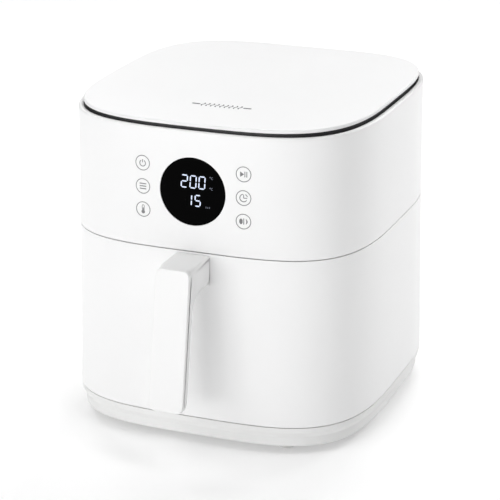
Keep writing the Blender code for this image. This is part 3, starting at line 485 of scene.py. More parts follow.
def makeFeet():
    # each foot's section turned round Z
    for i in range(1, 5):
        node = f"foot_{i}"
        low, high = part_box(node)
        radius = (high.x - low.x) / 2
        rim = filleted([(0.0, high.z, 0), (radius - 0.0006, high.z, 0.0005), (radius, high.z - 0.0040, 0.002),
                        (radius - 0.0010, low.z, 0.0010), (0.0, low.z, 0)], closed=False)
        makePiece(f"foot{i}", node, turned(rim + (0.0002, 0), ((low.x + high.x) / 2, (low.y + high.y) / 2)))


def turnAt(depth):
    # the turn of the front right corner where the outline lies this far in front of the axis
    return -math.asin((depth / bodyForm["halfDepth"]) ** (bodyForm["front"] / 2))


def makeWalls():
    # the lower wall behind the upright seams, then the drawer's front between them
    axis = bodyForm["centre"][1]
    low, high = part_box("lower_housing")
    edge = turnAt(axis - low.y)
    ring = roundedSquare(bodyForm, edge, math.pi - edge, 300, wall["edge"])
    piece = makePiece("lowerHousing", "lower_housing", panelGrid(ring, low.z, high.z))
    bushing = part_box("cord_gland")
    middle = sum(bushing, Vector()) / 2
    cut(piece, [turned(np.array([(gland["hole"], bushing[0].y - 0.01), (gland["hole"], bushing[1].y + 0.01)]),
                       (middle.x, middle.z), 48, "y")])
    low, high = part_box("drawer_front")
    edge = turnAt(axis - high.y)
    ring = roundedSquare(bodyForm, math.pi - edge, 2 * math.pi + edge, 260, wall["edge"])
    piece = makePiece("drawerFront", "drawer_front", panelGrid(ring, low.z, high.z))
    cut(piece, [screwHole(i, 0.0022) for i in (1, 2)])


def screwHole(i, radius):
    # a cylinder along a handle screw, run past both its ends
    low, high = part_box(f"handle_screw_{i}")
    middle = (low + high) / 2
    profile = np.array([(radius, low.y - 0.0008), (radius, high.y + 0.01)])
    return turned(profile, (middle.x, middle.z), 24, "y")


def panelGrid(ring, low, high):
    # the wall's section carried along part of the outline, drawn in at both ends
    profile = panelProfile(low, high)
    drawn = profile[None] - ring["inset"][:, None, None] * outward(profile)[None]
    offset = drawn[..., 0] + lean(drawn[..., 1])
    flat = ring["place"][:, None] + ring["normal"][:, None] * offset[..., None] + ring["centre"]
    return np.concatenate([flat, drawn[..., 1:]], axis=2)


head = {
    "topRound": 0.0021,
    "rim": 0.0045,          # width of the rim round the groove
    "rimFall": 0.0005,      # how far it slopes down inwards
    "rimDepth": 0.0030,
    "holeGap": 0.0003,      # round the window and the vent
    "sideRise": 0.0020,     # the rim bows up by this much from the front's middle to the sides
    "riseFrom": 0.2000,     # height at which the bow begins to show in the wall
}


def rimLift(x, y):
    # sideRise * (x / halfWidth) ^ 2
    return head["sideRise"] * (x / bodyForm["halfWidth"]) ** 2


def makeHead():
    # the wall's section carried round, bowed up by rimLift, with holes for the window and the vent
    low, high = headLow.z, headHigh.z
    edge, rim, depth = wall["edge"], head["rim"], head["rimDepth"]
    inner = -wall["thickness"]
    section = filleted([(0, low, edge), (0, high, head["topRound"]), (-rim, high - head["rimFall"], 0.0003),
                        (-rim, high - depth, 0.0003), (inner, high - depth - 0.02, 0.01), (inner, low, edge)])
    grid = carried(bodyRing, spaced(section, 0.006), True)
    share = np.clip((grid[..., 2] - head["riseFrom"]) / (high - head["riseFrom"]), 0, 1)
    grid[..., 2] += rimLift(grid[..., 0], grid[..., 1]) * share
    piece = makePiece("upperHousing", "upper_housing", grid, rowsJoin=True)
    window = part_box("display_window")
    middle = sum(window, Vector()) / 2
    gap = head["holeGap"]
    radius = (window[1].x - window[0].x) / 2 + gap
    bore = np.array([(radius, window[0].y - 0.01), (radius, window[1].y + 0.01)])
    low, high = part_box("rear_vent")
    slot = roundedBox(low.x - gap, low.z - gap, high.x + gap, high.z + gap, vent["corner"])
    cut(piece, [turned(bore, (0, middle.z), 160, "y"), prism(slot, low.y - 0.01, high.y + 0.01, 0.0001, "y")])


lid = {
    "inset": 0.0056,        # the crown's edge lies this far inside the body's outline
    "lip": 0.0016,          # the edge stands out from there with this radius
    "foot": 0.2955,         # height of the edge's lower side at the front's middle
    "crown": 0.0045,
    "crownPower": 2.5,
    "sideRise": 0.0021,     # the edge bows up to the sides
    "rearRise": 0.0010,     # and from the front to the middle
}
lidForm = {**bodyForm, "halfWidth": bodyForm["halfWidth"] - lid["inset"],
           "halfDepth": bodyForm["halfDepth"] - lid["inset"]}


def lidLift(x, y):
    # sideRise * (x / halfWidth) ^ 2 + rearRise * how far back from the front, up to the middle
    back = np.clip((y - bodyForm["centre"][1]) / bodyForm["halfDepth"] + 1, 0, 1)
    return lid["sideRise"] * (x / bodyForm["halfWidth"]) ** 2 + lid["rearRise"] * back


def makeIntakeRing():
    # a ledge in the groove and a wall under the lid's edge, carried round and bowed as the rim is
    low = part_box("intake_ring")[0].z
    outer, ledge, step = -head["rim"] - 0.0003, headHigh.z - 0.0025, -lid["inset"] - 0.0010
    top = lid["foot"] - 0.0003
    profile = filleted([(outer, low, 0.0003), (outer, ledge, 0.0003), (step, ledge, 0.0004),
                        (step, top, 0.0002), (step - 0.0030, top, 0.0002), (step - 0.0030, low, 0.0003)])
    grid = carried(bodyRing, profile)
    grid[..., 2] += rimLift(grid[..., 0], grid[..., 1])
    makePiece("intakeRing", "intake_ring", grid, rowsJoin=True)


def makeLid():
    # the edge's section carried round and closed by a crown, the whole bowed by lidLift
    high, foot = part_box("top_cover")[1].z, lid["foot"]
    edge = high - lid["crown"]
    rim = filleted([(0.0, edge, 0), (lid["lip"], edge, lid["lip"] * 0.9), (lid["lip"], foot, 0.0005),
                    (-0.0005, foot, 0.0003), (-0.0005, foot + 0.0015, 0.0005),
                    (-0.0030, foot + 0.0015, 0)], 8, False)

    def crowned(share):  # lifts by crown * (1 - share ^ power)
        return lid["crown"] * (1 - share ** lid["crownPower"])

    ring = roundedSquare(lidForm)
    makePiece("topCover", "top_cover", disc(ring, rim, rows=60, dishTop=crowned, lift=lidLift))


vent = {"slots": 14, "border": 0.0046, "bar": 0.0030, "edge": 0.0006, "corner": 0.003}


def makeVent():
    # a rounded plate with a row of upright slots, one pitch apart
    low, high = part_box("rear_vent")
    outline = roundedBox(low.x, low.z, high.x, high.z, vent["corner"])
    piece = makePiece("rearVent", "rear_vent", prism(outline, low.y, high.y, vent["edge"], "y"))
    width = high.x - low.x - 2 * vent["border"]
    pitch = (width + vent["bar"]) / vent["slots"]
    tall = high.z - low.z - 2 * vent["border"]
    middle = (low.z + high.z) / 2
    left = low.x + vent["border"] + (pitch - vent["bar"]) / 2
    slots = [prism(stadium((left + i * pitch, middle), tall, pitch - vent["bar"], math.pi / 2),
                   low.y - 0.004, high.y + 0.004, 0.0001, "y") for i in range(vent["slots"])]
    cut(piece, slots)


gland = {
    "bore": 0.0036,
    "step": 0.003,      # how much wider the flange is than the barrel
    "bevel": 0.0014,
    "edge": 0.0003,
    "bead": 0.0008,
    "seat": 0.0030,     # the flange stands this far in from the back of its box
    "hole": 0.0083,     # radius of the hole in the wall
}


def makeGland():
    # a barrel and a flange turned round Y; the flange is drawn about zero and then moved to its seat
    low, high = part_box("cord_gland")
    middle = (low + high) / 2
    outer = (high.x - low.x) / 2
    bore, edge, bead = gland["bore"], gland["edge"], gland["bead"]
    barrel = outer - gland["step"]
    profile = filleted([(bore, low.y, edge), (barrel, low.y, edge), (barrel, 0.0, edge), (outer, 0.0, edge),
                        (outer, 0.0016, bead), (outer - gland["bevel"], 0.003, bead), (bore, 0.003, bead)])
    seat = high.y - gland["seat"]
    profile[:, 1] = np.where(profile[:, 1] < 0.02, profile[:, 1] + seat, profile[:, 1])
    makePiece("cordGland", "cord_gland", turned(profile, (middle.x, middle.z), 64, "y"), rowsJoin=True)


makeBasePan()
makeFeet()
makeWalls()
makeHead()
makeIntakeRing()
makeLid()
makeVent()
makeGland()
print("fryer: housing made")


def frontPlace(x, z, lift):
    # the front wall's face: the outline's depth at x plus the lean at z, and a lift off it
    share = 1 - np.abs(x / bodyForm["halfWidth"]) ** bodyForm["front"]
    y = bodyForm["centre"][1] - bodyForm["halfDepth"] * share ** (1 / bodyForm["front"]) - lean(z) - lift
    return np.stack(np.broadcast_arrays(x, y, z), axis=-1)


def lidPlace(x, y, lift):
    # the lid's crown over the point (x, y)
    across, along = np.abs(x / lidForm["halfWidth"]), (y - bodyForm["centre"][1]) / lidForm["halfDepth"]
    power = np.where(along < 0, lidForm["front"], lidForm["rear"])
    share = (across ** power + np.abs(along) ** power) ** (1 / power)
    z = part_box("top_cover")[1].z - lid["crown"] * share ** lid["crownPower"] + lift
    z = z + lidLift(x / share, bodyForm["centre"][1] + along * lidForm["halfDepth"] / share) * share ** 2
    return np.stack(np.broadcast_arrays(x, y, z), axis=-1)


def stroke(path, width, place, closed=False, thickness=0.00005, lift=0.00002, roundEnds=True):
    # a flat band along a path of (u, v) points; its width closes on a half circle at open ends
    path = np.asarray(path, float)
    span = spaced(path, max(np.max(width) / 5, 0.0002), closed)
    along = np.roll(span, -1, 0) - np.roll(span, 1, 0) if closed else np.gradient(span, axis=0)
    side = unit(np.stack([along[:, 1], -along[:, 0]], 1))
    length = np.concatenate([[0], np.cumsum(np.linalg.norm(np.diff(span, axis=0), axis=1))])
    half = np.interp(length / max(length[-1], 1e-9), np.linspace(0, 1, np.size(width)), np.ravel(width)) / 2
    if roundEnds and not closed:
        near = np.minimum(length, length[-1] - length)
        half = half * np.sqrt(np.clip(1 - (1 - np.clip(near / half.max(), 0, 1)) ** 2, 0.05, 1))
    edges = np.stack([span + side * half[:, None], span - side * half[:, None]])
    top = place(edges[..., 0], edges[..., 1], lift + thickness)
    foot = place(edges[..., 0], edges[..., 1], lift)
    return np.stack([top[0], top[1], foot[1], foot[0]], axis=1)


def arcPath(centre, radius, first, last, count=40):
    # centre + radius * (cos, sin) from the first angle to the last, in degrees
    angle = np.radians(np.linspace(first, last, count))
    return np.stack([centre[0] + radius * np.cos(angle), centre[1] + radius * np.sin(angle)], 1)


def markPiece(name, bands, finish):
    # open bands are capped at their ends, closed ones join up
    grids, joins = zip(*bands)
    mesh = meshOf(name, grids, list(joins))
    return addPiece(name, mesh, finish, "housing")


window = {"edge": 0.0004}
windowLow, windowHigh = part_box("display_window")
windowMiddle = (windowLow + windowHigh) / 2


def makeWindow():
    # rings of the front wall's own surface, the last ones sinking on a quarter circle, and a flat back
    radius = (windowHigh.x - windowLow.x) / 2
    edge = window["edge"]
    swing = np.linspace(math.pi / 2, 0, 6)
    rho = np.concatenate([np.linspace(0.02, 1, 14)[:-1] * (radius - edge),
                          radius - edge + edge * np.cos(swing)])
    sink = np.concatenate([np.zeros(13), edge * (1 - np.sin(swing))])
    angle = np.linspace(0, 2 * math.pi, 160, endpoint=False)
    x, z = rho[:, None] * np.cos(angle), windowMiddle.z + rho[:, None] * np.sin(angle)
    front = frontPlace(x, z, -sink[:, None])
    back = np.stack([front[..., 0], np.full_like(x, windowHigh.y), front[..., 2]], 2)
    makePiece("displayWindow", "display_window", np.concatenate([front, back[::-1]]), angle=40)


signs = {
    "across": 0.0470,       # of the two columns from the middle
    "pitch": 0.0211,
    "drop": 0.0003,         # of the middle row under the window's middle
    "ringRadius": 0.0066,
    "line": 0.00070,
}


def signBands(strokes, x, z):
    # ring and strokes in millimetres about the sign's middle
    line = signs["line"]

    def place(u, v, lift):  # about the sign's middle, on the front wall
        return frontPlace(x + u, z + v, lift)

    bands = [(stroke(arcPath((0, 0), signs["ringRadius"], 0, 354, 60), line, place, True), True)]
    for path, width, *options in strokes:
        path = np.asarray(path, float) / 1000
        bands.append((stroke(path, np.asarray(width) / 1000, place, roundEnds=not options), False))
    return bands


def makeSigns():
    # strokes (path, width) in millimetres; a pair of widths tapers from one end to the other
    lineWide = 0.75
    power = [(arcPath((0, -0.3), 2.75, 118, 422), lineWide), ([(0, 3.3), (0, 0.2)], lineWide)]
    menu = [([(-3.3, v), (3.3, v)], 0.9) for v in (2.3, 0.0, -2.3)]
    tube = np.concatenate([arcPath((0, 3.0), 1.0, 0, 180, 12), [(-1.0, -0.9)]])
    bulb = 2 * np.sqrt(np.clip(1.75 ** 2 - np.linspace(-1.74, 1.74, 15) ** 2, 0.01, None))
    thermometer = [(np.concatenate([[(1.0, -0.9)], tube]), 0.5), ([(0, 1.6), (0, -1.6)], 1.1),
                   ([(0, -4.0), (0, -0.52)], bulb, "square")]
    play = [([(-3.1, 0), (0.4, 0)], (4.8, 0.2), "square"), ([(1.2, 2.5), (1.2, -2.5)], 0.75, "square"),
            ([(2.9, 2.5), (2.9, -2.5)], 0.75, "square")]
    clock = [(arcPath((0, 0), 3.3, 96, 330), 0.75), (arcPath((0.3, 0.3), 3.3, 14, 66, 12), 0.75),
             ([(0.1, 3.2), (0.1, 0.0), (3.4, 0.0)], 0.7)]
    drop = np.array([0.2, 2.6, 3.1, 3.1, 2.6, 0.2])
    heat = [([(-2.2, -2.7), (-2.2, 2.7)], drop, "square"),
            ([(0.3, 2.9), (0.3, -0.2), (0.3, -2.7)], (0.75, 0.75, 0.75)),
            (arcPath((0.6, 0), 2.6, -55, 55, 14), (0.5, 1.1, 1.1, 0.5))]
    columns = {-1: (("powerSign", power), ("menuSign", menu), ("thermometerSign", thermometer)),
               1: (("playSign", play), ("clockSign", clock), ("heatSign", heat))}
    for side, column in columns.items():
        for row, (name, strokes) in enumerate(column):
            z = windowMiddle.z - signs["drop"] + (1 - row) * signs["pitch"]
            markPiece(name, signBands(strokes, side * signs["across"], z), "sign_print")


figures = {
    "tall": 0.0108, "wide": 0.0054, "line": 0.0011, "gap": 0.0004, "slant": 0.06,
    "upper": ("200", -0.0102, 0.0090, 0.0082, 1.0),   # digits, left edge, middle height, pitch, size
    "lower": ("15", -0.0058, -0.0076, 0.0082, 0.90),
    "degrees": ((16.6, 14.6), (16.4, 5.0)),           # unit marks, in millimetres about the window's middle
    "tick": (12.6, -13.4, -11.9), "tickPitch": 1.7,
}
segmentsOf = {"0": "abcdef", "1": "bc", "2": "abged", "5": "afgcd"}


def digitBands(text, left, middle, pitch, size):
    # seven strokes round two squares, leaning by the slant
    half = figures["tall"] * size / 2
    wide = figures["wide"] * size
    gap = figures["gap"]
    ends = {"a": ((0, half), (wide, half)), "b": ((wide, half), (wide, 0)), "c": ((wide, 0), (wide, -half)),
            "d": ((0, -half), (wide, -half)), "e": ((0, 0), (0, -half)), "f": ((0, half), (0, 0)),
            "g": ((0, 0), (wide, 0))}
    bands = []
    for i, digit in enumerate(text):
        def place(u, v, lift, start=left + i * pitch):  # sheared by slant times height
            return frontPlace(start + u + figures["slant"] * v, windowMiddle.z + middle + v, lift)

        for segment in segmentsOf[digit]:
            first, last = np.array(ends[segment])
            along = unit(last - first)
            line = figures["line"]
            path = np.array([first + along * gap, last - along * gap])
            widths = (0.45 * line, line, line, line, line, line, line, 0.45 * line)
            bands.append((stroke(path, widths, place, roundEnds=False), False))
    return bands


def makeFigures():
    # both rows of digits as one lit piece, and the small unit marks beside them as a dim one
    bands = digitBands(*figures["upper"]) + digitBands(*figures["lower"])
    markPiece("litFigures", bands, "lit_segments")

    def place(u, v, lift):  # millimetres about the window's middle, on the front wall
        return frontPlace(u / 1000, windowMiddle.z + v / 1000, lift)

    bands = []
    for u, v in figures["degrees"]:   # a small ring and a hook beside it mark the temperature's unit
        bands.append((stroke(arcPath((u, v), 0.45, 0, 340, 12), 0.3, place, True), True))
        bands.append((stroke(arcPath((u + 2.0, v - 0.7), 0.95, 60, 300, 14), 0.35, place), False))
    left, foot, top = figures["tick"]
    for k in range(3):                # three ticks mark the time's unit
        u = left + figures["tickPitch"] * k
        bands.append((stroke([(u, foot), (u, top)], 0.45, place), False))
    markPiece("unitMarks", bands, "dim_segments")


lidMark = {
    "middle": (0.0050, -0.0660),
    "length": 0.056,
    "line": 0.0012,
    "waves": 9,
    "waveTall": 0.0082,
    "waveSwing": 0.0010,
    "spread": 0.62,         # share of the length that the waves take up
    "rule": (0.36, 0.5),    # where each rule starts and ends, as shares of the length
}


def makeLidMark():
    # a row of rising heat waves, each v = t with a sideways swing of sin(2 pi t), between two rules
    x, y = lidMark["middle"]
    rise = np.linspace(-0.5, 0.5, 21)
    bands = []
    spread = np.linspace(-0.5, 0.5, lidMark["waves"]) * lidMark["length"] * lidMark["spread"]
    for shift in spread:
        path = np.stack([x + shift + lidMark["waveSwing"] * np.sin(2 * math.pi * rise),
                         y + lidMark["waveTall"] * rise], 1)
        bands.append((stroke(path, lidMark["line"], lidPlace), False))
    for side in (-1, 1):
        reach = np.array(lidMark["rule"]) * side * lidMark["length"]
        bands.append((stroke([(x + r, y) for r in reach], 2 * lidMark["line"], lidPlace), False))
    markPiece("lidMark", bands, "lid_print")


makeWindow()
makeSigns()
makeFigures()
makeLidMark()
print("fryer: panel made")


pan = {"sheet": 0.0014, "wallFoot": -0.0118, "wallTop": -0.0052, "floorRound": 0.0050}


def makePan():
    # a tub: the inside's section from the floor up the wall to the rim, and back down the outside
    low, high = [corner.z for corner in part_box("frying_pan")]
    sheet, foot, top = pan["sheet"], pan["wallFoot"], pan["wallTop"]
    rim = filleted([(foot - 0.006, low + sheet, 0), (foot - sheet, low + sheet, pan["floorRound"] - sheet),
                    (top - sheet, high, 0.0024), (0.0, high, 0.0006), (0.0, high - sheet, 0.0006),
                    (top, high - sheet, 0.0010), (foot, low, pan["floorRound"]),
                    (foot - 0.006, low, 0)], 8, False)
    grid = disc(chamberRing, spaced(rim, 0.008, False), rows=20)
    makePiece("fryingPan", "frying_pan", grid)


plate = {
    "sheet": 0.0015,
    "edge": -0.0196,        # from the pan's outline
    "round": 0.0018,
    "slots": 16,            # in each band
    "bands": ((0.28, 0.080), (0.56, 0.080), (0.895, 0.100)),
}


def slotTools(reach, bands, count, low, high, gapShare=0.52):
    # rings of slots with round ends: each band is a share of the reach and a slot width as a share of it
    tools = []
    for share, width in bands:
        radius = reach * share
        for angle in np.arange(count) * 2 * math.pi / count:
            centre = np.array(fanCentre) + radius * np.array([math.cos(angle), math.sin(angle)])
            length = 2 * math.pi * radius / count * gapShare
            wide = min(width * reach, length * 0.8)
            outline = stadium(centre, max(length, wide * 1.25), wide, angle + math.pi / 2, 6)
            tools.append(prism(outline, low, high, 0.0001))
    return tools


def makePlate():
    # a flat sheet with a turned-down edge and three rings of slots
    low, high = [corner.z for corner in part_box("crisper_plate")]
    sheet, edge = plate["sheet"], plate["edge"]
    rim = filleted([(edge - 0.006, high, 0), (edge, high, plate["round"]), (edge, low, 0.0005),
                    (edge - sheet, low, 0.0005), (edge - sheet, high - sheet, 0.0006),
                    (edge - 0.006, high - sheet, 0)], 6, False)
    piece = makePiece("crisperPlate", "crisper_plate", disc(chamberRing, spaced(rim, 0.006, False), rows=6))
    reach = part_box("crisper_plate")[1].x
    cut(piece, slotTools(reach, plate["bands"], plate["slots"], high - 0.006, high + 0.004))


def makeBumpers():
    # the CAD's own shapes with rounded edges
    for i in range(1, 5):
        softened(f"plate_bumper_{i}", 0.0006, 3)


handle = {
    "faceTop": 0.1965,      # how far in front of the axis the face is at its top
    "faceFoot": 0.2165,     # and at its foot
    "gripBack": 0.2050,     # the grip's back at its foot
    "gripTop": 0.1885,      # and where it would meet the neck
    "neckUnder": 0.1555,    # height of the neck's underside at the drawer
    "cover": 0.0051,        # thickness of the front slab
    "gap": 0.0003,
    "cornerRound": 0.0062,  # corners of the slab seen from in front
    "slabRound": 0.0011,    # long edges of the slab
    "topRound": 0.0014,     # long edges of the neck's top
    "rearRound": 0.0018,    # long edges behind the grip
    "underRound": 0.0050,   # long edges under the neck, at the drawer
    "bend": 0.0180,         # where the neck's underside turns down into the grip
}


def handleGrid(profile, radii, halfWidth, fade):
    # the side outline carried across X; every point draws in on a quarter circle of its own radius near the
    # ends, then the slab's corners sink on a quarter circle seen from in front, fading out along the neck
    swing = np.linspace(math.pi / 2, 0, 6)[:, None]
    x = halfWidth - radii * (1 - np.sin(swing))
    inset = radii * (1 - np.cos(swing))
    normal = outward(profile)
    end = np.stack([x, profile[:, 0] - inset * normal[:, 0], profile[:, 1] - inset * normal[:, 1]], 2)
    share = np.sin(np.linspace(-math.pi / 2, math.pi / 2, 33))[1:-1, None]
    middle = np.stack(np.broadcast_arrays(share * (halfWidth - radii), profile[:, 0], profile[:, 1]), 2)
    grid = np.concatenate([end * (-1, 1, 1), middle, end[::-1]])
    low, high = profile[:, 1].min(), profile[:, 1].max()
    corner = handle["cornerRound"]
    for side, level, radius in ((1, high, corner * fade(grid[..., 1]) + 1e-5), (-1, low, corner)):
        over = np.clip(np.abs(grid[..., 0]) - (halfWidth - radius), 0, radius)
        drop = radius - np.sqrt(np.clip(radius ** 2 - over ** 2, 0, None))
        near = np.clip(1 - np.abs(level - grid[..., 2]) / (2 * corner), 0, 1)
        grid[..., 2] -= side * drop * near
    return grid


def makeHandle():
    # the slab and, a gap behind it, the neck and grip, both as side outlines carried across X
    low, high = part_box("handle_cover")
    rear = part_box("handle_body")[1].y
    halfWidth = high.x
    axis = bodyForm["centre"][1]
    # the front face runs from its top point down to its foot, leaning out
    top = np.array([axis - handle["faceTop"], high.z])
    foot = np.array([axis - handle["faceFoot"], low.z])
    back = np.array([handle["cover"], 0.0])
    outline = filleted([(*top, 0.0012), (*foot, 0.0035), (*(foot + back), 0.0004),
                        (*(top + back), 0.0004)], 8)
    profile = spaced(outline, 0.0035)
    radii = np.full(len(profile), handle["slabRound"])
    makePiece("handleCover", "handle_cover", handleGrid(profile, radii, halfWidth, np.ones_like))

    gap = np.array([handle["gap"], 0.0])
    under = handle["neckUnder"]
    outline = filleted([(*(top + back + gap), 0.0004), (*(foot + back + gap), 0.0004),
                        (axis - handle["gripBack"], low.z, 0.0034),
                        (axis - handle["gripTop"], under + 0.0010, handle["bend"]), (rear, under, 0.0002),
                        (rear, high.z, 0.0002)], 8)
    profile = spaced(outline, 0.0035)
    normal = outward(profile)
    # the long edges' radius: wide where the neck faces down, small behind the grip and on top, none at
    # the drawer
    behind = np.clip(normal[:, 0], 0, 1) * (profile[:, 0] < rear - 0.008)
    below = np.clip(-normal[:, 1], 0, 1) * (profile[:, 1] > low.z + 0.02)
    wide = np.maximum(behind, below) ** 0.5
    neck = np.clip((profile[:, 0] - (rear - 0.030)) / 0.022, 0, 1)
    widest = handle["rearRound"] + (handle["underRound"] - handle["rearRound"]) * neck
    radii = handle["topRound"] + (widest - handle["topRound"]) * wide
    radii = np.where((np.abs(normal[:, 0]) > 0.5) & (wide == 0), 0.0003, radii)
    radii = np.where(profile[:, 1] < low.z + 0.006, np.minimum(radii, 0.0030), radii)

    def fade(y):  # full at the slab, a third of it a centimetre further back
        return 1 - 0.68 * np.clip((y - (top[0] + handle["cover"])) / 0.010, 0, 1)

    piece = makePiece("handleBody", "handle_body", handleGrid(profile, radii, halfWidth, fade))
    cut(piece, [screwHole(i, 0.0020) for i in (1, 2)])


makePan()
makePlate()
makeBumpers()
makeHandle()
print("fryer: drawer made")


liner = {"bore": 0.006, "flange": -0.0032, "sheet": 0.001, "roofRound": 0.010}


def makeLiner():
    # one closed section from the flange up the hood's wall and roof to the shaft's hole, and back under it
    low, high = [corner.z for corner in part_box("chamber_liner")]
    body = roundedSquare(bodyForm, count=240)
    bore, flange, sheet = liner["bore"], liner["flange"], liner["sheet"]
    angle = np.arctan2(*(chamberRing["place"].T[::-1]))
    hole = np.stack([bore * np.cos(angle), bore * np.sin(angle)], 1) + fanCentre

    def loop(flat, height):  # a ring of points at one height
        return np.column_stack([flat, np.full(len(flat), height)])

    def outer(offset):  # the body's outline, moved outwards by the offset
        return body["place"] + body["normal"] * offset + body["centre"]

    def inner(points):  # rows of the hood's wall and roof
        return list(carried(chamberRing, points))

    upside = filleted([(0.0035, low + sheet, 0), (0.0005, low + sheet, 0.002),
                       (0.0, high - 0.003, liner["roofRound"]), (-0.0200, high, 0)], 8, False)
    under = upside - (0.0008, sheet)
    under[0] = (0.0035, low)
    rows = ([loop(outer(flange), low), loop(outer(flange), low + sheet)] + inner(upside)
            + [loop(hole, high), loop(hole, high - sheet)] + inner(under[::-1]))
    makePiece("chamberLiner", "chamber_liner", np.stack(rows), rowsJoin=True)


guard = {"rim": -0.0020, "reach": 0.112, "slots": 24, "bands": ((0.33, 0.05), (0.59, 0.05), (0.83, 0.05))}


def makeGuard():
    # a flat plate over the pan with three rings of slots
    low, high = [corner.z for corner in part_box("heater_guard")]
    edge = guard["rim"]
    rim = filleted([(-0.010, high, 0), (edge, high, 0.0004), (edge, low, 0.0004), (-0.010, low, 0)], 3, False)
    piece = makePiece("heaterGuard", "heater_guard", disc(chamberRing, rim, rows=6))
    cut(piece, slotTools(guard["reach"], guard["bands"], guard["slots"], low - 0.004, high + 0.004))


element = {"tube": 0.0032, "outer": 0.0920, "inner": 0.0740, "first": 8, "last": 350, "steps": 400}


def makeElement():
    # outer ring, a tight U and the inner ring back, both ends turned up; a moving average rounds the corners
    low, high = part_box("heating_element")
    radius, outer, inner, steps = element["tube"], element["outer"], element["inner"], element["steps"]
    height = low.z + radius
    first, last = math.radians(element["first"]), math.radians(element["last"])
    middle, half = (outer + inner) / 2, (outer - inner) / 2
    rise = np.array([high.z, height])
    swing = np.linspace(0, math.pi, 40)[1:-1]
    ring = np.linspace(first, last, steps)
    distance = np.concatenate([[outer, outer], np.full(steps, outer), middle + half * np.cos(swing),
                               np.full(steps, inner), [inner, inner]])
    angle = np.concatenate([[first, first], ring, last + half * np.sin(swing) / middle, ring[::-1],
                            [first, first]])
    level = np.concatenate([rise, np.full(2 * steps + len(swing), height), rise[::-1]])
    route = np.stack([fanCentre[0] + distance * np.cos(angle), fanCentre[1] + distance * np.sin(angle),
                      level], 1)
    route = spaced(route, 0.0012, False)
    weights = np.hanning(9) / np.hanning(9).sum()
    padded = np.concatenate([np.repeat(route[:1], 4, 0), route, np.repeat(route[-1:], 4, 0)])
    route = np.stack([np.convolve(column, weights, "valid") for column in padded.T], 1)
    curve = bpy.data.curves.new("heatingElement", "CURVE")
    curve.dimensions = "3D"
    curve.bevel_depth = radius
    curve.bevel_resolution = 4
    curve.use_fill_caps = True
    spline = curve.splines.new("POLY")
    spline.points.add(len(route) - 1)
    spline.points.foreach_set("co", np.column_stack([route, np.ones(len(route))]).ravel())
    tube = bpy.data.objects.new("tube", curve)
    bpy.context.scene.collection.objects.link(tube)
    mesh = bpy.data.meshes.new_from_object(tube.evaluated_get(bpy.context.evaluated_depsgraph_get()))
    bpy.data.objects.remove(tube)
    addPiece("heatingElement", mesh, "heater_steel", "housing", ["heating_element"])


cavity = {
    "sheet": 0.001,
    "side": 0.1190,         # half the room's width
    "rearRound": 0.050,
    "front": 0.1070,        # the room's mouth lies this far in front of the axis
    "floor": 0.0335,
    "leverSlot": (0.0950, 0.1070),  # heights of the slot that the lever reaches through
}


def makeCavity():
    # a rounded box with a flange added at its mouth, hollowed out, with a slot for the lever
    low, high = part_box("cavity_shell")
    sheet, side, rearRound, floor = cavity["sheet"], cavity["side"], cavity["rearRound"], cavity["floor"]
    axis = bodyForm["centre"][1]
    rear, front = high.y - sheet, axis - cavity["front"]

    def room(grow, frontEdge):  # the room's outline, wider by grow at its sides and rear
        radii = (0.0002, 0.0002, rearRound, rearRound)
        return spaced(roundedBox(-side - grow, frontEdge, side + grow, rear + grow, radii, 16), 0.02)

    piece = makePiece("cavityShell", "cavity_shell", prism(room(sheet, front), floor - sheet, high.z, 0.0002))
    flange = roundedBox(low.x, low.z, high.x, high.z, (0.004, 0.004, 0.0005, 0.0005))
    cut(piece, [prism(flange, low.y, front + sheet / 2, 0.0003, "y")], "UNION")
    cut(piece, [prism(room(0, front - 0.02), floor, 0.25, 0.0001)])
    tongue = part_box("interlock_lever")
    foot, top = cavity["leverSlot"]
    slot = roundedBox(tongue[0].x - 0.0004, foot, tongue[0].x + 0.0028, top, 0.0005)
    cut(piece, [prism(slot, low.y - 0.01, low.y + 0.01, 0.0001, "y")])


makeLiner()
makeGuard()
makeElement()
makeCavity()
edgeWidths = {
    "front_backing": 0.0006, "pan_bracket": 0.0003, "left_rail": 0.0005, "right_rail": 0.0005,
    "relay": 0.0004, "transformer": 0.0005, "interlock_switch": 0.0004, "display_module": 0.0004,
    "motor_bracket_lower": 0.0003, "motor_bracket_upper": 0.0003,
}
for node, width in edgeWidths.items():
    softened(node, width)
print("fryer: inner pieces made")


stage = {
    "half": 15.0,
    "colour": (0.90, 0.90, 0.90),
    "rough": 0.9,
    "world": 0.03,
    # painted shade: the floor's glow is lowered near the object and rises further out
    "ramp": (0.15, 0.45, 0.17, 0.265),  # nearest and furthest distance, and the glow at each
}


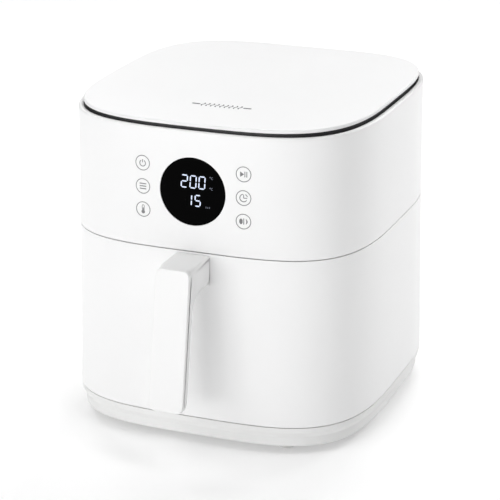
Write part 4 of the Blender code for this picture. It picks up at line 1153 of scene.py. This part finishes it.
def makeStage():
    # a flat floor whose glow grows with the distance from the object; the weaker glow near it is painted
    # shade, so the contact stays dark
    mesh = bpy.data.meshes.new("floor")
    reach = stage["half"]
    corners = [(-reach, -reach, 0), (reach, -reach, 0), (reach, reach, 0), (-reach, reach, 0)]
    mesh.from_pydata(corners, [], [(0, 1, 2, 3)])
    floor = bpy.data.objects.new("floor", mesh)
    bpy.context.scene.collection.objects.link(floor)
    material = bpy.data.materials.new("floor")
    material.use_nodes = True
    shader = material.node_tree.nodes["Principled BSDF"]
    shader.inputs["Base Color"].default_value = (*stage["colour"], 1)
    shader.inputs["Roughness"].default_value = stage["rough"]
    shader.inputs["Specular IOR Level"].default_value = 0.0
    shader.inputs["Emission Color"].default_value = (1, 1, 1, 1)
    tree = material.node_tree
    place = tree.nodes.new("ShaderNodeTexCoord")
    distance = tree.nodes.new("ShaderNodeVectorMath")
    distance.operation = "LENGTH"
    # painted shade: this ramp over the distance from the object cuts the floor's glow near it
    ramp = tree.nodes.new("ShaderNodeMapRange")
    for name, value in zip(("From Min", "From Max", "To Min", "To Max"), stage["ramp"]):
        ramp.inputs[name].default_value = value
    tree.links.new(place.outputs["Object"], distance.inputs[0])
    tree.links.new(distance.outputs["Value"], ramp.inputs["Value"])
    tree.links.new(ramp.outputs["Result"], shader.inputs["Emission Strength"])
    mesh.materials.append(material)
    world = bpy.data.worlds.new("studio")
    world.use_nodes = True
    world.node_tree.nodes["Background"].inputs["Color"].default_value = (1, 1, 1, 1)
    world.node_tree.nodes["Background"].inputs["Strength"].default_value = stage["world"]
    bpy.context.scene.world = world


# azimuth (0 in front, 90 at the right), elevation, distance, size and power of each soft light
lamps = {
    "rearLeftLow": (-140, 8, 2.2, 0.8, 0.54),
    "frontLeftLow": (-35, 8, 2.2, 0.8, 0.54),
    "frontLow": (-20, 8, 2.2, 0.8, 6.86),
    "frontLow2": (-5, 8, 2.2, 0.8, 6.29),
    "rearRightLow": (120, 8, 2.2, 0.8, 2.02),
    "rearRightLow2": (150, 8, 2.2, 0.8, 3.72),
    "rearLeftMid": (-140, 28, 2.2, 0.8, 2.70),
    "frontLeftMid": (-35, 28, 2.2, 0.8, 4.48),
    "rearRightMid": (150, 28, 2.2, 0.8, 12.20),
    "rearLeftHigh": (-140, 50, 2.2, 0.8, 4.54),
    "leftHigh": (-105, 50, 2.2, 0.8, 9.32),
    "frontLeftHigh": (-35, 50, 2.2, 0.8, 2.58),
    "frontHigh": (-5, 50, 2.2, 0.8, 5.23),
    "frontRightHigh": (65, 50, 2.2, 0.8, 7.94),
    "rearHigh": (180, 50, 2.2, 0.8, 15.59),
    "above": (-35, 72, 2.2, 1, 1.36),
    "above2": (60, 72, 2.2, 1, 5.48),
}


lampTarget = (0, 0, 0.15)


def makeLamps():
    # target + distance * (sin a cos e, -cos a cos e, sin e), each disc turned to face the target
    target = Vector(lampTarget)
    for name, (azimuth, elevation, distance, size, power) in lamps.items():
        turn, rise = math.radians(azimuth), math.radians(elevation)
        away = Vector((math.sin(turn) * math.cos(rise), -math.cos(turn) * math.cos(rise), math.sin(rise)))
        light = bpy.data.lights.new(name, "AREA")
        light.shape = "DISK"
        light.size = size
        light.energy = power
        lamp = bpy.data.objects.new(name, light)
        bpy.context.scene.collection.objects.link(lamp)
        lamp.location = target + away * distance
        lamp.rotation_euler = away.to_track_quat("Z", "Y").to_euler()
        lamp.visible_camera = False


camera = {"place": (0.64095, -1.62642, 0.76505), "target": (-0.0014, 0.01836, 0.13941), "lens": 143.5}


def makeCamera():
    # a long lens at its place, turned to face its target
    data = bpy.data.cameras.new("camera")
    data.lens = camera["lens"]
    data.clip_end = 100
    eye = bpy.data.objects.new("camera", data)
    bpy.context.scene.collection.objects.link(eye)
    eye.location = camera["place"]
    away = Vector(camera["place"]) - Vector(camera["target"])
    eye.rotation_euler = away.to_track_quat("Z", "Y").to_euler()
    bpy.context.scene.camera = eye
    bpy.context.scene.view_settings.view_transform = "Standard"


makeStage()
makeLamps()
makeCamera()
print("fryer: stage, light and camera made")
